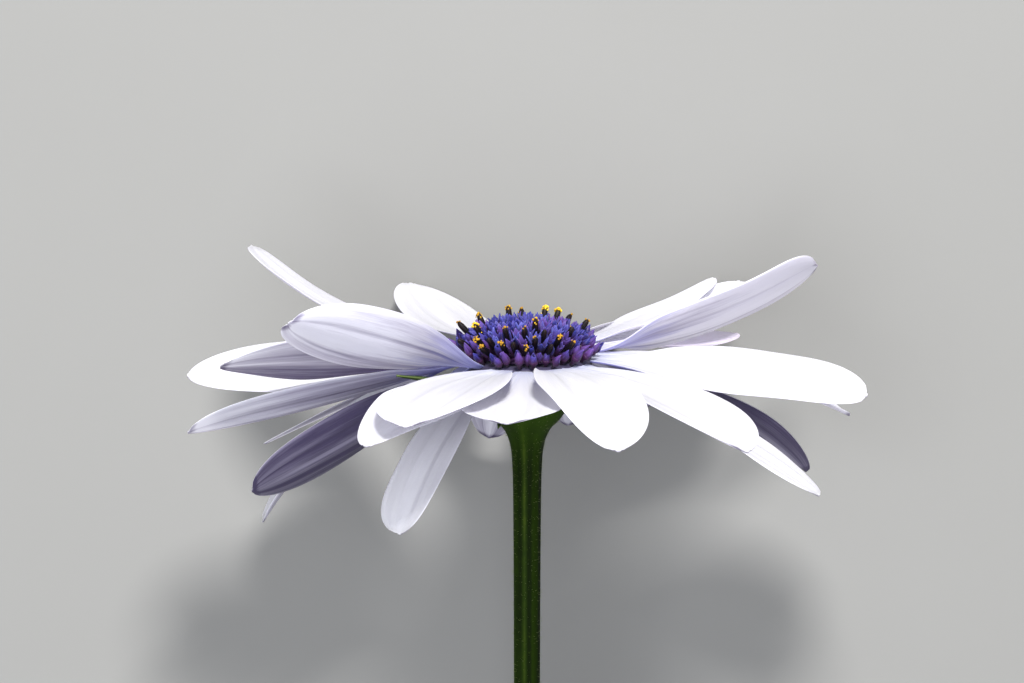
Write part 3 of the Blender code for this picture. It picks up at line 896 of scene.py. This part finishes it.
def floret_material(looks):
    """A disc floret: wine red foot, violet tube, blue lobe tips, and painted shade over its lower part.
    """
    nodes = Nodes("disc_floret")
    along, seed, inner = nodes.attributes(*DISC_VALUES)
    cloud = nodes.noise(nodes.object_place(), 2400.0, 3.0, 0.6)
    height = nodes.swayed(along, cloud, 0.30)
    foot = nodes.mix(nodes.span(height, 0.25, 0.60), looks.base, looks.middle)
    colour = nodes.mix(nodes.span(height, 0.58, 1.0), foot, looks.tip)
    colour = nodes.mix(nodes.span(seed, 0.5, 1.0, 0.0, 0.7), colour, PURPLE_TINT)
    colour = nodes.mix(nodes.span(seed, 0.0, 0.25, 0.5, 0.0), colour, BLUE_TINT)
    colour = nodes.mix(nodes.scaled(inner, 0.35), colour, INSIDE_TINT)
    # Painted shade: darkening below about 0.8 of a floret's length stands for the shade between
    # florets.
    colour = nodes.mix(nodes.span(along, 0.34, 0.80, 0.92, 0.0), colour, looks.base)
    normal = nodes.bump(cloud, 0.00008, 0.5)
    nodes.surface(colour, 0.42, specular=0.3, sheen=0.05)
    nodes.let_light_through(nodes.mix(0.3, colour, FLORET_GLOW), 0.12, normal)
    return nodes.material


def core_height(radius):
    """The height of the domed core under the disc florets."""
    return COLLAR_TOP + CLEARANCE + CORE_HEIGHT * (1 - (radius / CORE_RADIUS) ** 2)


def leaning(outward, lean):
    """Three directions of what leans outward: along it, outward from it and round it."""
    along = outward * math.sin(lean) + UP * math.cos(lean)
    across = outward * math.cos(lean) - UP * math.sin(lean)
    return along, across, np.cross(along, across)


def floret_stand(x, y):
    """A disc floret's root on the core, and its three directions."""
    radius = math.hypot(x, y)
    lean = EDGE_LEAN * (radius / DISC_SPREAD) ** LEAN_POWER
    directions = leaning(np.array([x, y, 0.0]) / radius, lean)
    return np.array([x, y, core_height(radius)]) - directions[0] * FLORET_SINK, *directions


def bud_stand(azimuth, radius, lean):
    """A bud's root beside the core, and its three directions."""
    outward = turned_to(azimuth)
    return outward * radius + UP * BUD_FOOT, *leaning(outward, math.radians(lean))


def spoke(stand, angle):
    """The direction out of a floret's side at an angle round it."""
    _, _, across, round_it = stand
    return across * math.cos(angle) + round_it * math.sin(angle)


def folds(sides):
    """How far each side of a tube with five folds stands out, from -1 to 1."""
    return np.cos(np.arange(sides) * 2 * np.pi * LOBES / sides)


def add_tube(growth, stand, whole, turn, profile, radius, outline, **values):
    """A closed tube on a floret's root, by shares of its length and radius and a fluted outline."""
    root, along = stand[:2]
    first = spoke(stand, turn)
    second = np.cross(along, first)
    rings = [
        ring_of(root + along * whole * share, first, second, radius * thick * outline)
        for share, thick in profile
    ]
    heights = np.repeat([share for share, _ in profile], len(outline))
    growth.add(rings, loft_faces(len(rings), len(outline)), along=heights, **values)


def add_lobe(growth, stand, whole, mouth, angle, width, share, flare, curl, seed):
    """One pointed lobe at a floret's mouth, slightly cupped, thin and closed."""
    root, along = stand[:2]
    outward = spoke(stand, angle)
    beside = np.cross(along, outward)
    shares = np.linspace(0, 1, LOBE_ROWS)
    lean = flare + curl * shares
    steps = np.outer(np.cos(lean), along) + np.outer(np.sin(lean), outward)
    reach = whole * share * (1 - MOUTH_PLACE) / (LOBE_ROWS - 1)
    start = root + along * whole * MOUTH_PLACE + outward * mouth * LOBE_FOOT
    centre = start + np.vstack([np.zeros(3), np.cumsum(steps[:-1], axis=0)]) * reach
    normal = np.outer(np.cos(lean), outward) - np.outer(np.sin(lean), along)
    taper = (1 - shares**LOBE_TAPER_POWER) ** LOBE_TIP_ROUNDNESS
    belly = LOBE_FOOT_WIDTH + LOBE_BELLY * np.sin(np.pi * shares)
    half = width / 2 * taper * belly + LOBE_LEAST_WIDTH / 2
    places = np.linspace(-1, 1, LOBE_COLUMNS)
    spread = half[:, None] * places
    cup = LOBE_CUP * half[:, None] * places**2
    middle = centre[:, None] + beside * spread[..., None] + normal[:, None] * cup[..., None]
    thin = LOBE_THICKNESS / 2 * (1 - LOBE_EDGE_THINNING * places**2)[:, None] * normal[:, None]
    heights = np.repeat(MOUTH_PLACE + (1 - MOUTH_PLACE) * shares, LOBE_COLUMNS)
    growth.add_blade(middle, thin, thin, "inner", along=heights, seed=seed)


def add_floret(growth, stand, closed, length, thickness, turn, looks, draw):
    """One disc floret, from an open star to a plump closed bud by its share of closing."""
    whole = length + FLORET_SINK
    mouth = looks.mouth_share * thickness
    seed = draw.uniform(BUD_LEAST_SEED * closed, 1)
    profile = [(share, thick + BUD_SWELLING * closed * swells) for share, thick, swells in TUBE_PROFILE]
    outline = 1 + TUBE_FLUTING * folds(TUBE_SIDES)
    inner = np.repeat(np.arange(len(profile)) >= len(profile) - THROAT_RINGS, TUBE_SIDES)
    add_tube(growth, stand, whole, turn, profile, mouth, outline, seed=seed, inner=inner)
    opened = math.radians(draw.uniform(*OPEN_FLARE)) * (1 - closed) - math.radians(BUD_FLARE) * closed
    for lobe in range(LOBES):
        angle = turn + 2 * math.pi * lobe / LOBES
        flare = opened * draw.uniform(*LOBE_FLARES)
        curl = math.radians(draw.uniform(*OPEN_CURL)) * (1 - closed) - math.radians(BUD_CURL) * closed
        width = looks.lobe_width / MM * draw.uniform(*LOBE_WIDTHS) * (1 + BUD_LOBE_WIDENING * closed)
        share = draw.uniform(*LOBE_LENGTHS)
        add_lobe(growth, stand, whole, mouth, angle, width, share, flare, curl, seed)


def bud_growth(looks):
    """The ring of closed buds round the foot of the disc."""
    draw = random.Random(BUD_SEED)
    growth = Growth(*DISC_VALUES)
    for index in range(BUDS):
        azimuth = (index + draw.uniform(-BUD_SCATTER, BUD_SCATTER)) * 360 / BUDS
        stand = bud_stand(azimuth, BUD_RADII[index % 2], draw.uniform(*BUD_LEANS))
        length = BUD_LENGTH * draw.uniform(*BUD_LENGTHS)
        thickness = draw.uniform(*FLORET_RADII)
        add_floret(growth, stand, 1.0, length, thickness, draw.uniform(0, 3), looks, draw)
    return growth


def core_growth():
    """The domed core that the disc florets stand on."""
    growth = Growth(*DISC_VALUES)
    radii = [CORE_RADIUS * (1 - ring / (CORE_RINGS + 0.5)) for ring in range(CORE_RINGS + 1)]
    rings = level_rings([(core_height(radius), radius) for radius in radii], CORE_SIDES)
    growth.add(rings, loft_faces(len(rings), CORE_SIDES), along=0.0, seed=0.0, inner=0.0)
    return growth


def disc_draws():
    """The florets' places and shapes, then the anthers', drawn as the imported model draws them."""
    draw = random.Random(FLORET_SEED)
    florets, anthers = [], []
    for index in range(DISC_FLORETS):
        radius = DISC_SPREAD * math.sqrt((index + 0.5) / DISC_FLORETS)
        angle = index * GOLDEN_ANGLE
        length = FLORET_LENGTH * draw.uniform(*FLORET_LENGTH_SHARES)
        thickness = draw.uniform(*FLORET_RADII)
        turn = draw.uniform(0, math.pi)
        florets.append((radius * math.cos(angle), radius * math.sin(angle), length, thickness, turn))
    for x, y, pollen in ANTHERS:
        length = FLORET_LENGTH + draw.uniform(*ANTHER_EXTRAS)
        turn = draw.uniform(0, math.pi)
        anthers.append((x, y, length, turn, pollen))
    return florets, anthers


class DAISY_OT_add_disc(bpy.types.Operator):
    """Add the blue disc florets, their core and the closed buds round its foot"""

    bl_idname = "daisy.add_disc"
    bl_label = "Add Disc Florets"
    bl_options = {"REGISTER", "UNDO"}

    def execute(self, context):
        looks = context.scene.daisy_disc
        material = floret_material(looks)
        draw = random.Random(LOBE_SEED)
        florets = Growth(*DISC_VALUES)
        for x, y, length, thickness, turn in disc_draws()[0]:
            closed = eased((math.hypot(x, y) / DISC_SPREAD - CLOSING_START) / CLOSING_SPAN)
            add_floret(florets, floret_stand(x, y), closed, length, thickness, turn, looks, draw)
        florets.grown("disc_florets_open", material, "disc_florets", "disc_floret")
        bud_growth(looks).grown("disc_buds", material, "disc_florets", "disc_floret")
        core_growth().grown("disc_core", material, "disc_florets", "disc_floret")
        return {"FINISHED"}


# Tints of the anther tubes' seams and spots, and of dull grains of pollen and the spots on grains
SEAM_TINT = (0.20, 0.07, 0.008)
SPOT_TINT = (0.03, 0.014, 0.010)
DULL_GRAIN_TINT = (0.30, 0.16, 0.010)
GRAIN_SPOT_TINT = (0.30, 0.14, 0.008)


def anther_material(looks):
    """A dark, faintly glossy anther tube with rust-coloured seams and tip."""
    nodes = Nodes("anther")
    along, seam = nodes.attributes("along", "seam")
    cloud = nodes.noise(nodes.object_place(), 5200.0, 3.0, 0.65)
    rust = nodes.sum("MULTIPLY", nodes.span(along, 0.62, 1.0), nodes.span(seam, 0.35, 0.95))
    rust = nodes.sum("MULTIPLY", rust, nodes.span(cloud, 0.38, 0.62))
    colour = nodes.mix(nodes.scaled(rust, 0.12), looks.anther, SEAM_TINT)
    colour = nodes.mix(nodes.span(cloud, 0.60, 0.72, 0.0, 0.2), colour, SPOT_TINT)
    nodes.bump(cloud, 0.00005, 0.6)
    nodes.surface(colour, 0.45, specular=0.14)
    return nodes.material


def pollen_material(looks):
    """Golden pollen, duller on some grains."""
    nodes = Nodes("pollen")
    (seed,) = nodes.attributes("seed")
    cloud = nodes.noise(nodes.object_place(), 9000.0, 2.0)
    colour = nodes.mix(nodes.span(seed, 0.15, 0.8), DULL_GRAIN_TINT, looks.pollen)
    colour = nodes.mix(nodes.span(cloud, 0.35, 0.65, 0.5, 0.0), colour, GRAIN_SPOT_TINT)
    nodes.bump(cloud, 0.00004, 0.8)
    nodes.surface(colour, 0.62, specular=0.25)
    return nodes.material


def grain_mesh():
    """Vertices and faces of one round grain with a radius of 1."""
    shape = bmesh.new()
    bmesh.ops.create_icosphere(shape, subdivisions=2, radius=1.0)
    vertices = np.array([vertex.co for vertex in shape.verts])
    faces = [tuple(vertex.index for vertex in face.verts) for face in shape.faces]
    shape.free()
    return vertices, faces


def add_pollen(growth, grain, stand, whole, radius, amount, looks, draw):
    """Clots of pollen on an anther's tip and down its sides."""
    root, along = stand[:2]
    vertices, faces = grain
    for _ in range(int(MOST_GRAINS * amount)):
        share = GRAIN_TOP - abs(draw.gauss(0, GRAIN_SCATTER + SCATTER_BY_AMOUNT * amount))
        angle = draw.uniform(0, 2 * math.pi)
        spread = TIP_GRAINS_OUT + SIDE_GRAINS_FURTHER * eased((SIDE_START - share) / SIDE_SPAN)
        out = radius * spread * draw.uniform(*GRAIN_OUT_SHARES)
        centre = root + along * whole * share
        centre = centre + spoke(stand, angle) * out
        size = looks.grain_radius / MM * draw.uniform(*GRAIN_SIZES)
        stretch = np.array([draw.uniform(*GRAIN_STRETCH) for _ in range(3)])
        seed = amount * draw.uniform(*GRAIN_SEEDS)
        growth.add(centre + vertices * size * stretch, faces, seed=seed)


class DAISY_OT_add_anthers(bpy.types.Operator):
    """Add the dark anther tubes and the pollen on them"""

    bl_idname = "daisy.add_anthers"
    bl_label = "Add Anthers and Pollen"
    bl_options = {"REGISTER", "UNDO"}

    def execute(self, context):
        looks = context.scene.daisy_disc
        draw = random.Random(POLLEN_SEED)
        tubes, pollen = Growth("along", "seam"), Growth("seed")
        grain = grain_mesh()
        radius = looks.anther_radius / MM
        outline = 1 + ANTHER_FLUTING * folds(ANTHER_SIDES)
        seam = np.tile((1 - folds(ANTHER_SIDES)) / 2, len(ANTHER_PROFILE))
        for x, y, length, turn, amount in disc_draws()[1]:
            stand = floret_stand(x, y)
            whole = length + FLORET_SINK
            add_tube(tubes, stand, whole, turn, ANTHER_PROFILE, radius, outline, seam=seam)
            add_pollen(pollen, grain, stand, whole, radius, amount, looks, draw)
        tubes.grown("anther_tubes", anther_material(looks), "disc_florets", "anther")
        pollen.grown("pollen_clots", pollen_material(looks), "disc_florets", "pollen")
        return {"FINISHED"}


# The pith at the cut end, and the hairs, each between two tints
PITH_TINTS = ((0.34, 0.40, 0.20), (0.52, 0.56, 0.36))
HAIR_TINTS = ((0.09, 0.12, 0.03), (0.24, 0.28, 0.12))


def stem_material(looks):
    """A dark green, faintly ribbed stem with a pale pith at its cut end, darkened by painted shade."""
    nodes = Nodes("stem")
    height, rib, pith = nodes.attributes(*STEM_VALUES)
    place = nodes.object_place()
    cloud = nodes.noise(place, 420.0, 4.0, 0.6)
    grain = nodes.noise(place, 3800.0, 2.0)
    rib_share = nodes.swayed(rib, cloud, 0.9)
    colour = nodes.mix(nodes.span(rib_share, 0.15, 0.75), looks.dark, looks.green)
    colour = nodes.mix(nodes.span(rib_share, 0.78, 1.15), colour, looks.light)
    colour = nodes.mix(nodes.span(grain, 0.66, 0.74, 0.0, 0.5), colour, looks.light)
    colour = nodes.mix(nodes.span(height, -12.0, -4.0, 0.0, 0.55), colour, looks.bract)
    colour = nodes.mix(pith, colour, nodes.mix(nodes.span(grain, 0.4, 0.6), *PITH_TINTS))
    nodes.bump(nodes.sum("MULTIPLY_ADD", grain, 0.4, cloud), 0.00010, 0.5)
    nodes.surface(colour, nodes.span(cloud, 0.3, 0.7, 0.55, 0.7), specular=0.05)
    return nodes.material


def hair_material():
    """Pale, glassy plant hairs."""
    nodes = Nodes("plant_hair")
    cloud = nodes.noise(nodes.object_place(), 900.0, 2.0)
    nodes.surface(nodes.mix(cloud, *HAIR_TINTS), 0.5, specular=0.15)
    return nodes.material


def smooth_radius(heights):
    """The stem's radius at heights, by a smooth curve through its profile."""
    known, radii = np.array(STEM_PROFILE).T
    tangents = np.gradient(radii, known)
    upper = np.clip(np.searchsorted(known, heights), 1, len(known) - 1)
    low, high = known[upper - 1], known[upper]
    gap = high - low
    t = (heights - low) / gap
    return (
        (2 * t**3 - 3 * t**2 + 1) * radii[upper - 1]
        + (t**3 - 2 * t**2 + t) * gap * tangents[upper - 1]
        + (3 * t**2 - 2 * t**3) * radii[upper]
        + (t**3 - t**2) * gap * tangents[upper]
    )


def rib_shares(height):
    """How far each side of the stem stands on a rib, from 0 to 1, at a height."""
    angles = np.arange(STEM_SIDES) * 2 * np.pi / STEM_SIDES
    wander = RIB_WANDER * math.sin(height * RIB_WANDER_RATE)
    ribs = 0.5
    for count, rise, following in RIB_SETS:
        ribs = ribs + rise * np.cos(count * angles + following * wander)
    return np.clip(ribs, 0, 1)


def on_axis(height):
    """The point of the stem's axis at a height."""
    return np.append(stem_centre(height), height)


def stem_growth(looks):
    """The stem with its ribs, its cut end and the cup and boss at its top."""
    growth = Growth(*STEM_VALUES)
    heights = np.concatenate([np.linspace(*run) for run in STEM_RUNS])
    end_radius = STEM_PROFILE[0][1]
    profile = [(-STEM_LENGTH + dish, end_radius * share, 1.0) for share, dish in CUT_DISH]
    profile += [(height, radius, 0.0) for height, radius in zip(heights, smooth_radius(heights))]
    profile += [(height, radius, 0.0) for height, radius in BOSS_PROFILE]
    rings, ribs = [], []
    for height, radius, pith in profile:
        rib = rib_shares(height)
        relief = looks.rib_height / MM * (rib - RIB_LEVEL) * (1 - pith)
        rings.append(ring_of(on_axis(height), RIGHT, AWAY, radius + relief))
        ribs.append(rib)
    growth.add(
        rings,
        loft_faces(len(rings), STEM_SIDES),
        height=np.repeat([height for height, _, _ in profile], STEM_SIDES),
        rib=np.concatenate(ribs),
        pith=np.repeat([pith for _, _, pith in profile], STEM_SIDES),
    )
    return growth


def unit(vector):
    """A direction with a length of 1."""
    return vector / np.linalg.norm(vector)


def add_hair(growth, root, outward, length, draw):
    """One short tapered hair that leans towards the head."""
    upward, aside = draw.uniform(*HAIR_RISES), draw.uniform(*HAIR_SWAYS)
    lean = unit(outward + UP * upward + np.cross(outward, UP) * aside)
    bent = unit(lean + UP * draw.uniform(*HAIR_BENDS))
    first = unit(np.cross(lean, UP))
    second = np.cross(lean, first)
    middle = root + lean * length * 0.5
    tip = middle + bent * length * 0.5
    foot_ring = ring_of(root - lean * HAIR_SINK, first, second, np.full(3, HAIR_RADIUS))
    middle_ring = ring_of(middle, first, second, np.full(3, HAIR_RADIUS * HAIR_TAPER))
    growth.add(np.vstack([foot_ring, middle_ring, tip]), HAIR_FACES)


def hair_growth(looks):
    """Short hairs scattered over the stem and cup, denser towards the head."""
    draw = random.Random(HAIR_SEED)
    growth = Growth()
    for _ in range(looks.hairs):
        height = HAIR_TOP - HAIR_REACH * draw.random() ** HAIR_CROWDING
        angle = draw.uniform(0, 2 * math.pi)
        outward = np.array([math.cos(angle), math.sin(angle), 0.0])
        root = on_axis(height) + outward * smooth_radius(np.array([height]))[0]
        length = looks.hair_length / MM * draw.uniform(*HAIR_LENGTHS)
        add_hair(growth, root, outward, length, draw)
    return growth


class DAISY_OT_add_stem(bpy.types.Operator):
    """Add the stem, the cup at its top and their hairs"""

    bl_idname = "daisy.add_stem"
    bl_label = "Add Stem and Cup"
    bl_options = {"REGISTER", "UNDO"}

    def execute(self, context):
        looks = context.scene.daisy_stem
        stem_growth(looks).grown("stem_and_cup", stem_material(looks), "stem_and_bracts", "stem")
        hair_growth(looks).grown("stem_hairs", hair_material(), "stem_and_bracts", "stem")
        return {"FINISHED"}


# Tint of a bract's thin edges
BRACT_EDGE_TINT = (0.12, 0.16, 0.05)


def bract_material(looks):
    """A leafy green bract with a light keel and a pale edge."""
    nodes = Nodes("bract")
    along, across, seed = nodes.attributes(*BRACT_VALUES)
    streaks = nodes.streaks((across, along, seed), (7.0, 1.5, 4.0), 4.0)
    beside = nodes.sum("ABSOLUTE", across)
    colour = nodes.mix(nodes.span(streaks, 0.3, 0.7), looks.dark, looks.bract)
    colour = nodes.mix(nodes.span(beside, 0.0, 0.22, 0.45, 0.0), colour, looks.light)
    colour = nodes.mix(nodes.span(beside, 0.72, 1.0, 0.0, 0.6), colour, BRACT_EDGE_TINT)
    nodes.bump(streaks, 0.00010, 0.6)
    nodes.surface(colour, 0.5, specular=0.2)
    return nodes.material


def bract_droop(azimuth):
    """How steeply a bract must droop to stay under the rays near it, in degrees."""
    near = [
        -ray.rise - BRACT_LESS_DROOP
        for ray in RAYS
        if abs((ray.azimuth - azimuth + 180) % 360 - 180) < REACH_OF_A_RAY
    ]
    return max([BRACT_LEAST_DROOP, *near])


def add_bract(growth, azimuth, droop, length, looks, draw):
    """One pointed bract: keeled, thin at its edges and slightly curved along."""
    droop = math.radians(droop)
    outward, side = turned_to(azimuth), turned_to(azimuth + 90)
    along = outward * math.cos(droop) - UP * math.sin(droop)
    normal = outward * math.sin(droop) + UP * math.cos(droop)
    base = outward * BRACT_BASE_RADIUS + UP * BRACT_BASE_HEIGHT
    rows = np.linspace(BRACT_ROOT_SHARE, 1, BRACT_ROWS)
    shares, places = np.meshgrid(rows, np.linspace(-1, 1, BRACT_COLUMNS), indexing="ij")
    known = np.array(BRACT_WIDTH_SHARES)
    half = looks.bract_width / MM / 2 * np.interp(shares, known[:, 0], known[:, 1])
    inside = np.clip(shares, 0, 1)
    bow = BRACT_BOW * np.sin(np.pi * inside) * draw.uniform(*BRACT_BOW_SHARES)
    keel = BRACT_KEEL * (1 - np.minimum(np.abs(places) / BRACT_KEEL_WIDTH, 1.0)) * (1 - shares)
    cup = BRACT_CUP * places**2 * half
    middle = base + along * (length * shares)[..., None]
    middle = middle + side * (half * places)[..., None] + normal * (bow + cup)[..., None]
    thick = looks.bract_thickness / MM / 2 * (1 - BRACT_EDGE_THINNING * places**2)
    thick = thick * (1 - BRACT_TIP_THINNING * inside)
    above, below = (normal * height[..., None] for height in (thick, thick + keel))
    growth.add_blade(middle, above, below, along=shares, across=places, seed=draw.uniform(0, 10))


class DAISY_OT_add_bracts(bpy.types.Operator):
    """Add the ring of pointed bracts under the rays"""

    bl_idname = "daisy.add_bracts"
    bl_label = "Add Bracts"
    bl_options = {"REGISTER", "UNDO"}

    def execute(self, context):
        looks = context.scene.daisy_stem
        draw = random.Random(BRACT_SEED)
        growth = Growth(*BRACT_VALUES)
        for azimuth in BRACT_AZIMUTHS:
            add_bract(growth, azimuth, bract_droop(azimuth), BRACT_LENGTH, looks, draw)
        add_bract(growth, *RAISED_BRACT, looks, draw)
        growth.grown("bracts", bract_material(looks), "stem_and_bracts", "stem")
        return {"FINISHED"}


# The camera's height over the disc, and the pixel where the middle of the ring of rays stands
VIEW_HEIGHT = math.radians(13.5)
FRAME_WIDTH, FRAME_HEIGHT = 1024, 683
HEAD_PIXEL = (527.0, 358.0)
PIXELS_PER_MM = 9.7
SENSOR_WIDTH = 36.0

# The lights: the key's direction is in the flower's own frame, and sizes are in metres
KEY_DIRECTION = (0.10, -0.58, 0.80)
KEY_DISTANCE = 0.55
KEY_SIZE = 0.12
KEY_COLOUR = (1.0, 0.985, 0.96)
FILL_DIRECTION = (-0.25, -0.15, 1.0)
FILL_DISTANCE = 0.60
FILL_SIZE = 0.45
FILL_COLOUR = (0.95, 0.97, 1.0)
SKY_COLOUR = (0.93, 0.95, 1.0, 1.0)
FLOOR_HALF_WIDTH = 1.5
FLOOR_CORNERS = ((-1, -1), (1, -1), (1, 1), (-1, 1))


def add_floor(looks):
    """A plain pale floor under the flower."""
    mesh = bpy.data.meshes.new("floor")
    corners = [(x * FLOOR_HALF_WIDTH, y * FLOOR_HALF_WIDTH, 0.0) for x, y in FLOOR_CORNERS]
    mesh.from_pydata(corners, [], [(0, 1, 2, 3)])
    nodes = Nodes("floor")
    cloud = nodes.noise(nodes.object_place(), 60.0, 3.0)
    shade = tuple(channel * 0.97 for channel in looks.floor)
    nodes.surface(nodes.mix(cloud, looks.floor, shade), 0.85, specular=0.2)
    mesh.materials.append(nodes.material)
    floor = added("floor", mesh)


def add_area_light(name, direction, distance, size, power, colour):
    """A soft round light that shines on the flower's head."""
    light = bpy.data.lights.new(name, "AREA")
    light.shape = "DISK"
    light.size = size
    light.energy = power
    light.color = colour
    lamp = added(name, light)
    lamp.location = Vector(laid_down([0.0, 0.0, 0.0])) + direction.normalized() * distance
    lamp.rotation_mode = "QUATERNION"
    lamp.rotation_quaternion = direction.to_track_quat("Z", "Y")


def add_camera(looks):
    """The camera at the photograph's angle, high over the lying flower."""
    back = np.array([0.0, -math.cos(VIEW_HEIGHT), math.sin(VIEW_HEIGHT)])
    up = np.cross(back, RIGHT)
    distance = looks.distance / MM
    beside = (HEAD_PIXEL[0] - FRAME_WIDTH / 2) / PIXELS_PER_MM
    below = (HEAD_PIXEL[1] - FRAME_HEIGHT / 2) / PIXELS_PER_MM
    place = back * distance - RIGHT * beside + up * below
    camera = bpy.data.cameras.new("camera")
    camera.sensor_width = SENSOR_WIDTH
    camera.lens = distance * PIXELS_PER_MM / FRAME_WIDTH * SENSOR_WIDTH
    camera.clip_start = 0.01
    viewer = added("camera", camera)
    axes = Matrix([laid_vector(RIGHT), laid_vector(up), laid_vector(back)]).transposed()
    viewer.matrix_world = Matrix.Translation(Vector(laid_down(place))) @ axes.to_4x4()
    bpy.context.scene.camera = viewer


def set_sky(looks):
    """Even pale light from all round."""
    world = bpy.data.worlds.new("studio")
    world.use_nodes = True
    background = world.node_tree.nodes["Background"]
    background.inputs["Color"].default_value = SKY_COLOUR
    background.inputs["Strength"].default_value = looks.sky
    bpy.context.scene.world = world


class DAISY_OT_set_stage(bpy.types.Operator):
    """Set the floor, the lights and the camera"""

    bl_idname = "daisy.set_stage"
    bl_label = "Set Stage"
    bl_options = {"REGISTER", "UNDO"}

    def execute(self, context):
        looks = context.scene.daisy_stage
        add_floor(looks)
        key = laid_vector(KEY_DIRECTION)
        fill = Vector(FILL_DIRECTION)
        add_area_light("key", key, KEY_DISTANCE, KEY_SIZE, looks.key, KEY_COLOUR)
        add_area_light("fill", fill, FILL_DISTANCE, FILL_SIZE, looks.fill, FILL_COLOUR)
        set_sky(looks)
        add_camera(looks)
        context.scene.view_settings.view_transform = "Standard"
        return {"FINISHED"}


class DAISY_PT_panel(bpy.types.Panel):
    """The daisy's pieces and their looks"""

    bl_idname = "DAISY_PT_panel"
    bl_label = "Daisy"
    bl_space_type = "VIEW_3D"
    bl_region_type = "UI"
    bl_category = "Daisy"

    def draw(self, context):
        for looks_name, operators in STEPS:
            box = self.layout.box()
            looks = getattr(context.scene, looks_name)
            for name in looks.__annotations__:
                box.prop(looks, name)
            for operator in operators:
                box.operator(operator)


STEPS = (
    ("daisy_rays", ("daisy.add_rays",)),
    ("daisy_disc", ("daisy.add_disc", "daisy.add_anthers")),
    ("daisy_stem", ("daisy.add_stem", "daisy.add_bracts")),
    ("daisy_stage", ("daisy.set_stage",)),
)
LOOKS = {
    "daisy_rays": DaisyRayLooks,
    "daisy_disc": DaisyDiscLooks,
    "daisy_stem": DaisyStemLooks,
    "daisy_stage": DaisyStageLooks,
}
CLASSES = (
    *LOOKS.values(),
    DAISY_OT_add_rays,
    DAISY_OT_add_disc,
    DAISY_OT_add_anthers,
    DAISY_OT_add_stem,
    DAISY_OT_add_bracts,
    DAISY_OT_set_stage,
    DAISY_PT_panel,
)


def register():
    """Registers the classes and hangs their looks on the scene."""
    for cls in CLASSES:
        bpy.utils.register_class(cls)
    for name, looks in LOOKS.items():
        setattr(bpy.types.Scene, name, PointerProperty(type=looks))


def unregister():
    """Takes the looks and the classes away again."""
    for name in LOOKS:
        delattr(bpy.types.Scene, name)
    for cls in reversed(CLASSES):
        bpy.utils.unregister_class(cls)


def main():
    register()
    bpy.ops.daisy.add_rays()
    bpy.ops.daisy.add_disc()
    bpy.ops.daisy.add_anthers()
    bpy.ops.daisy.add_stem()
    bpy.ops.daisy.add_bracts()
    bpy.ops.daisy.set_stage()


if __name__ == "__main__":
    main()
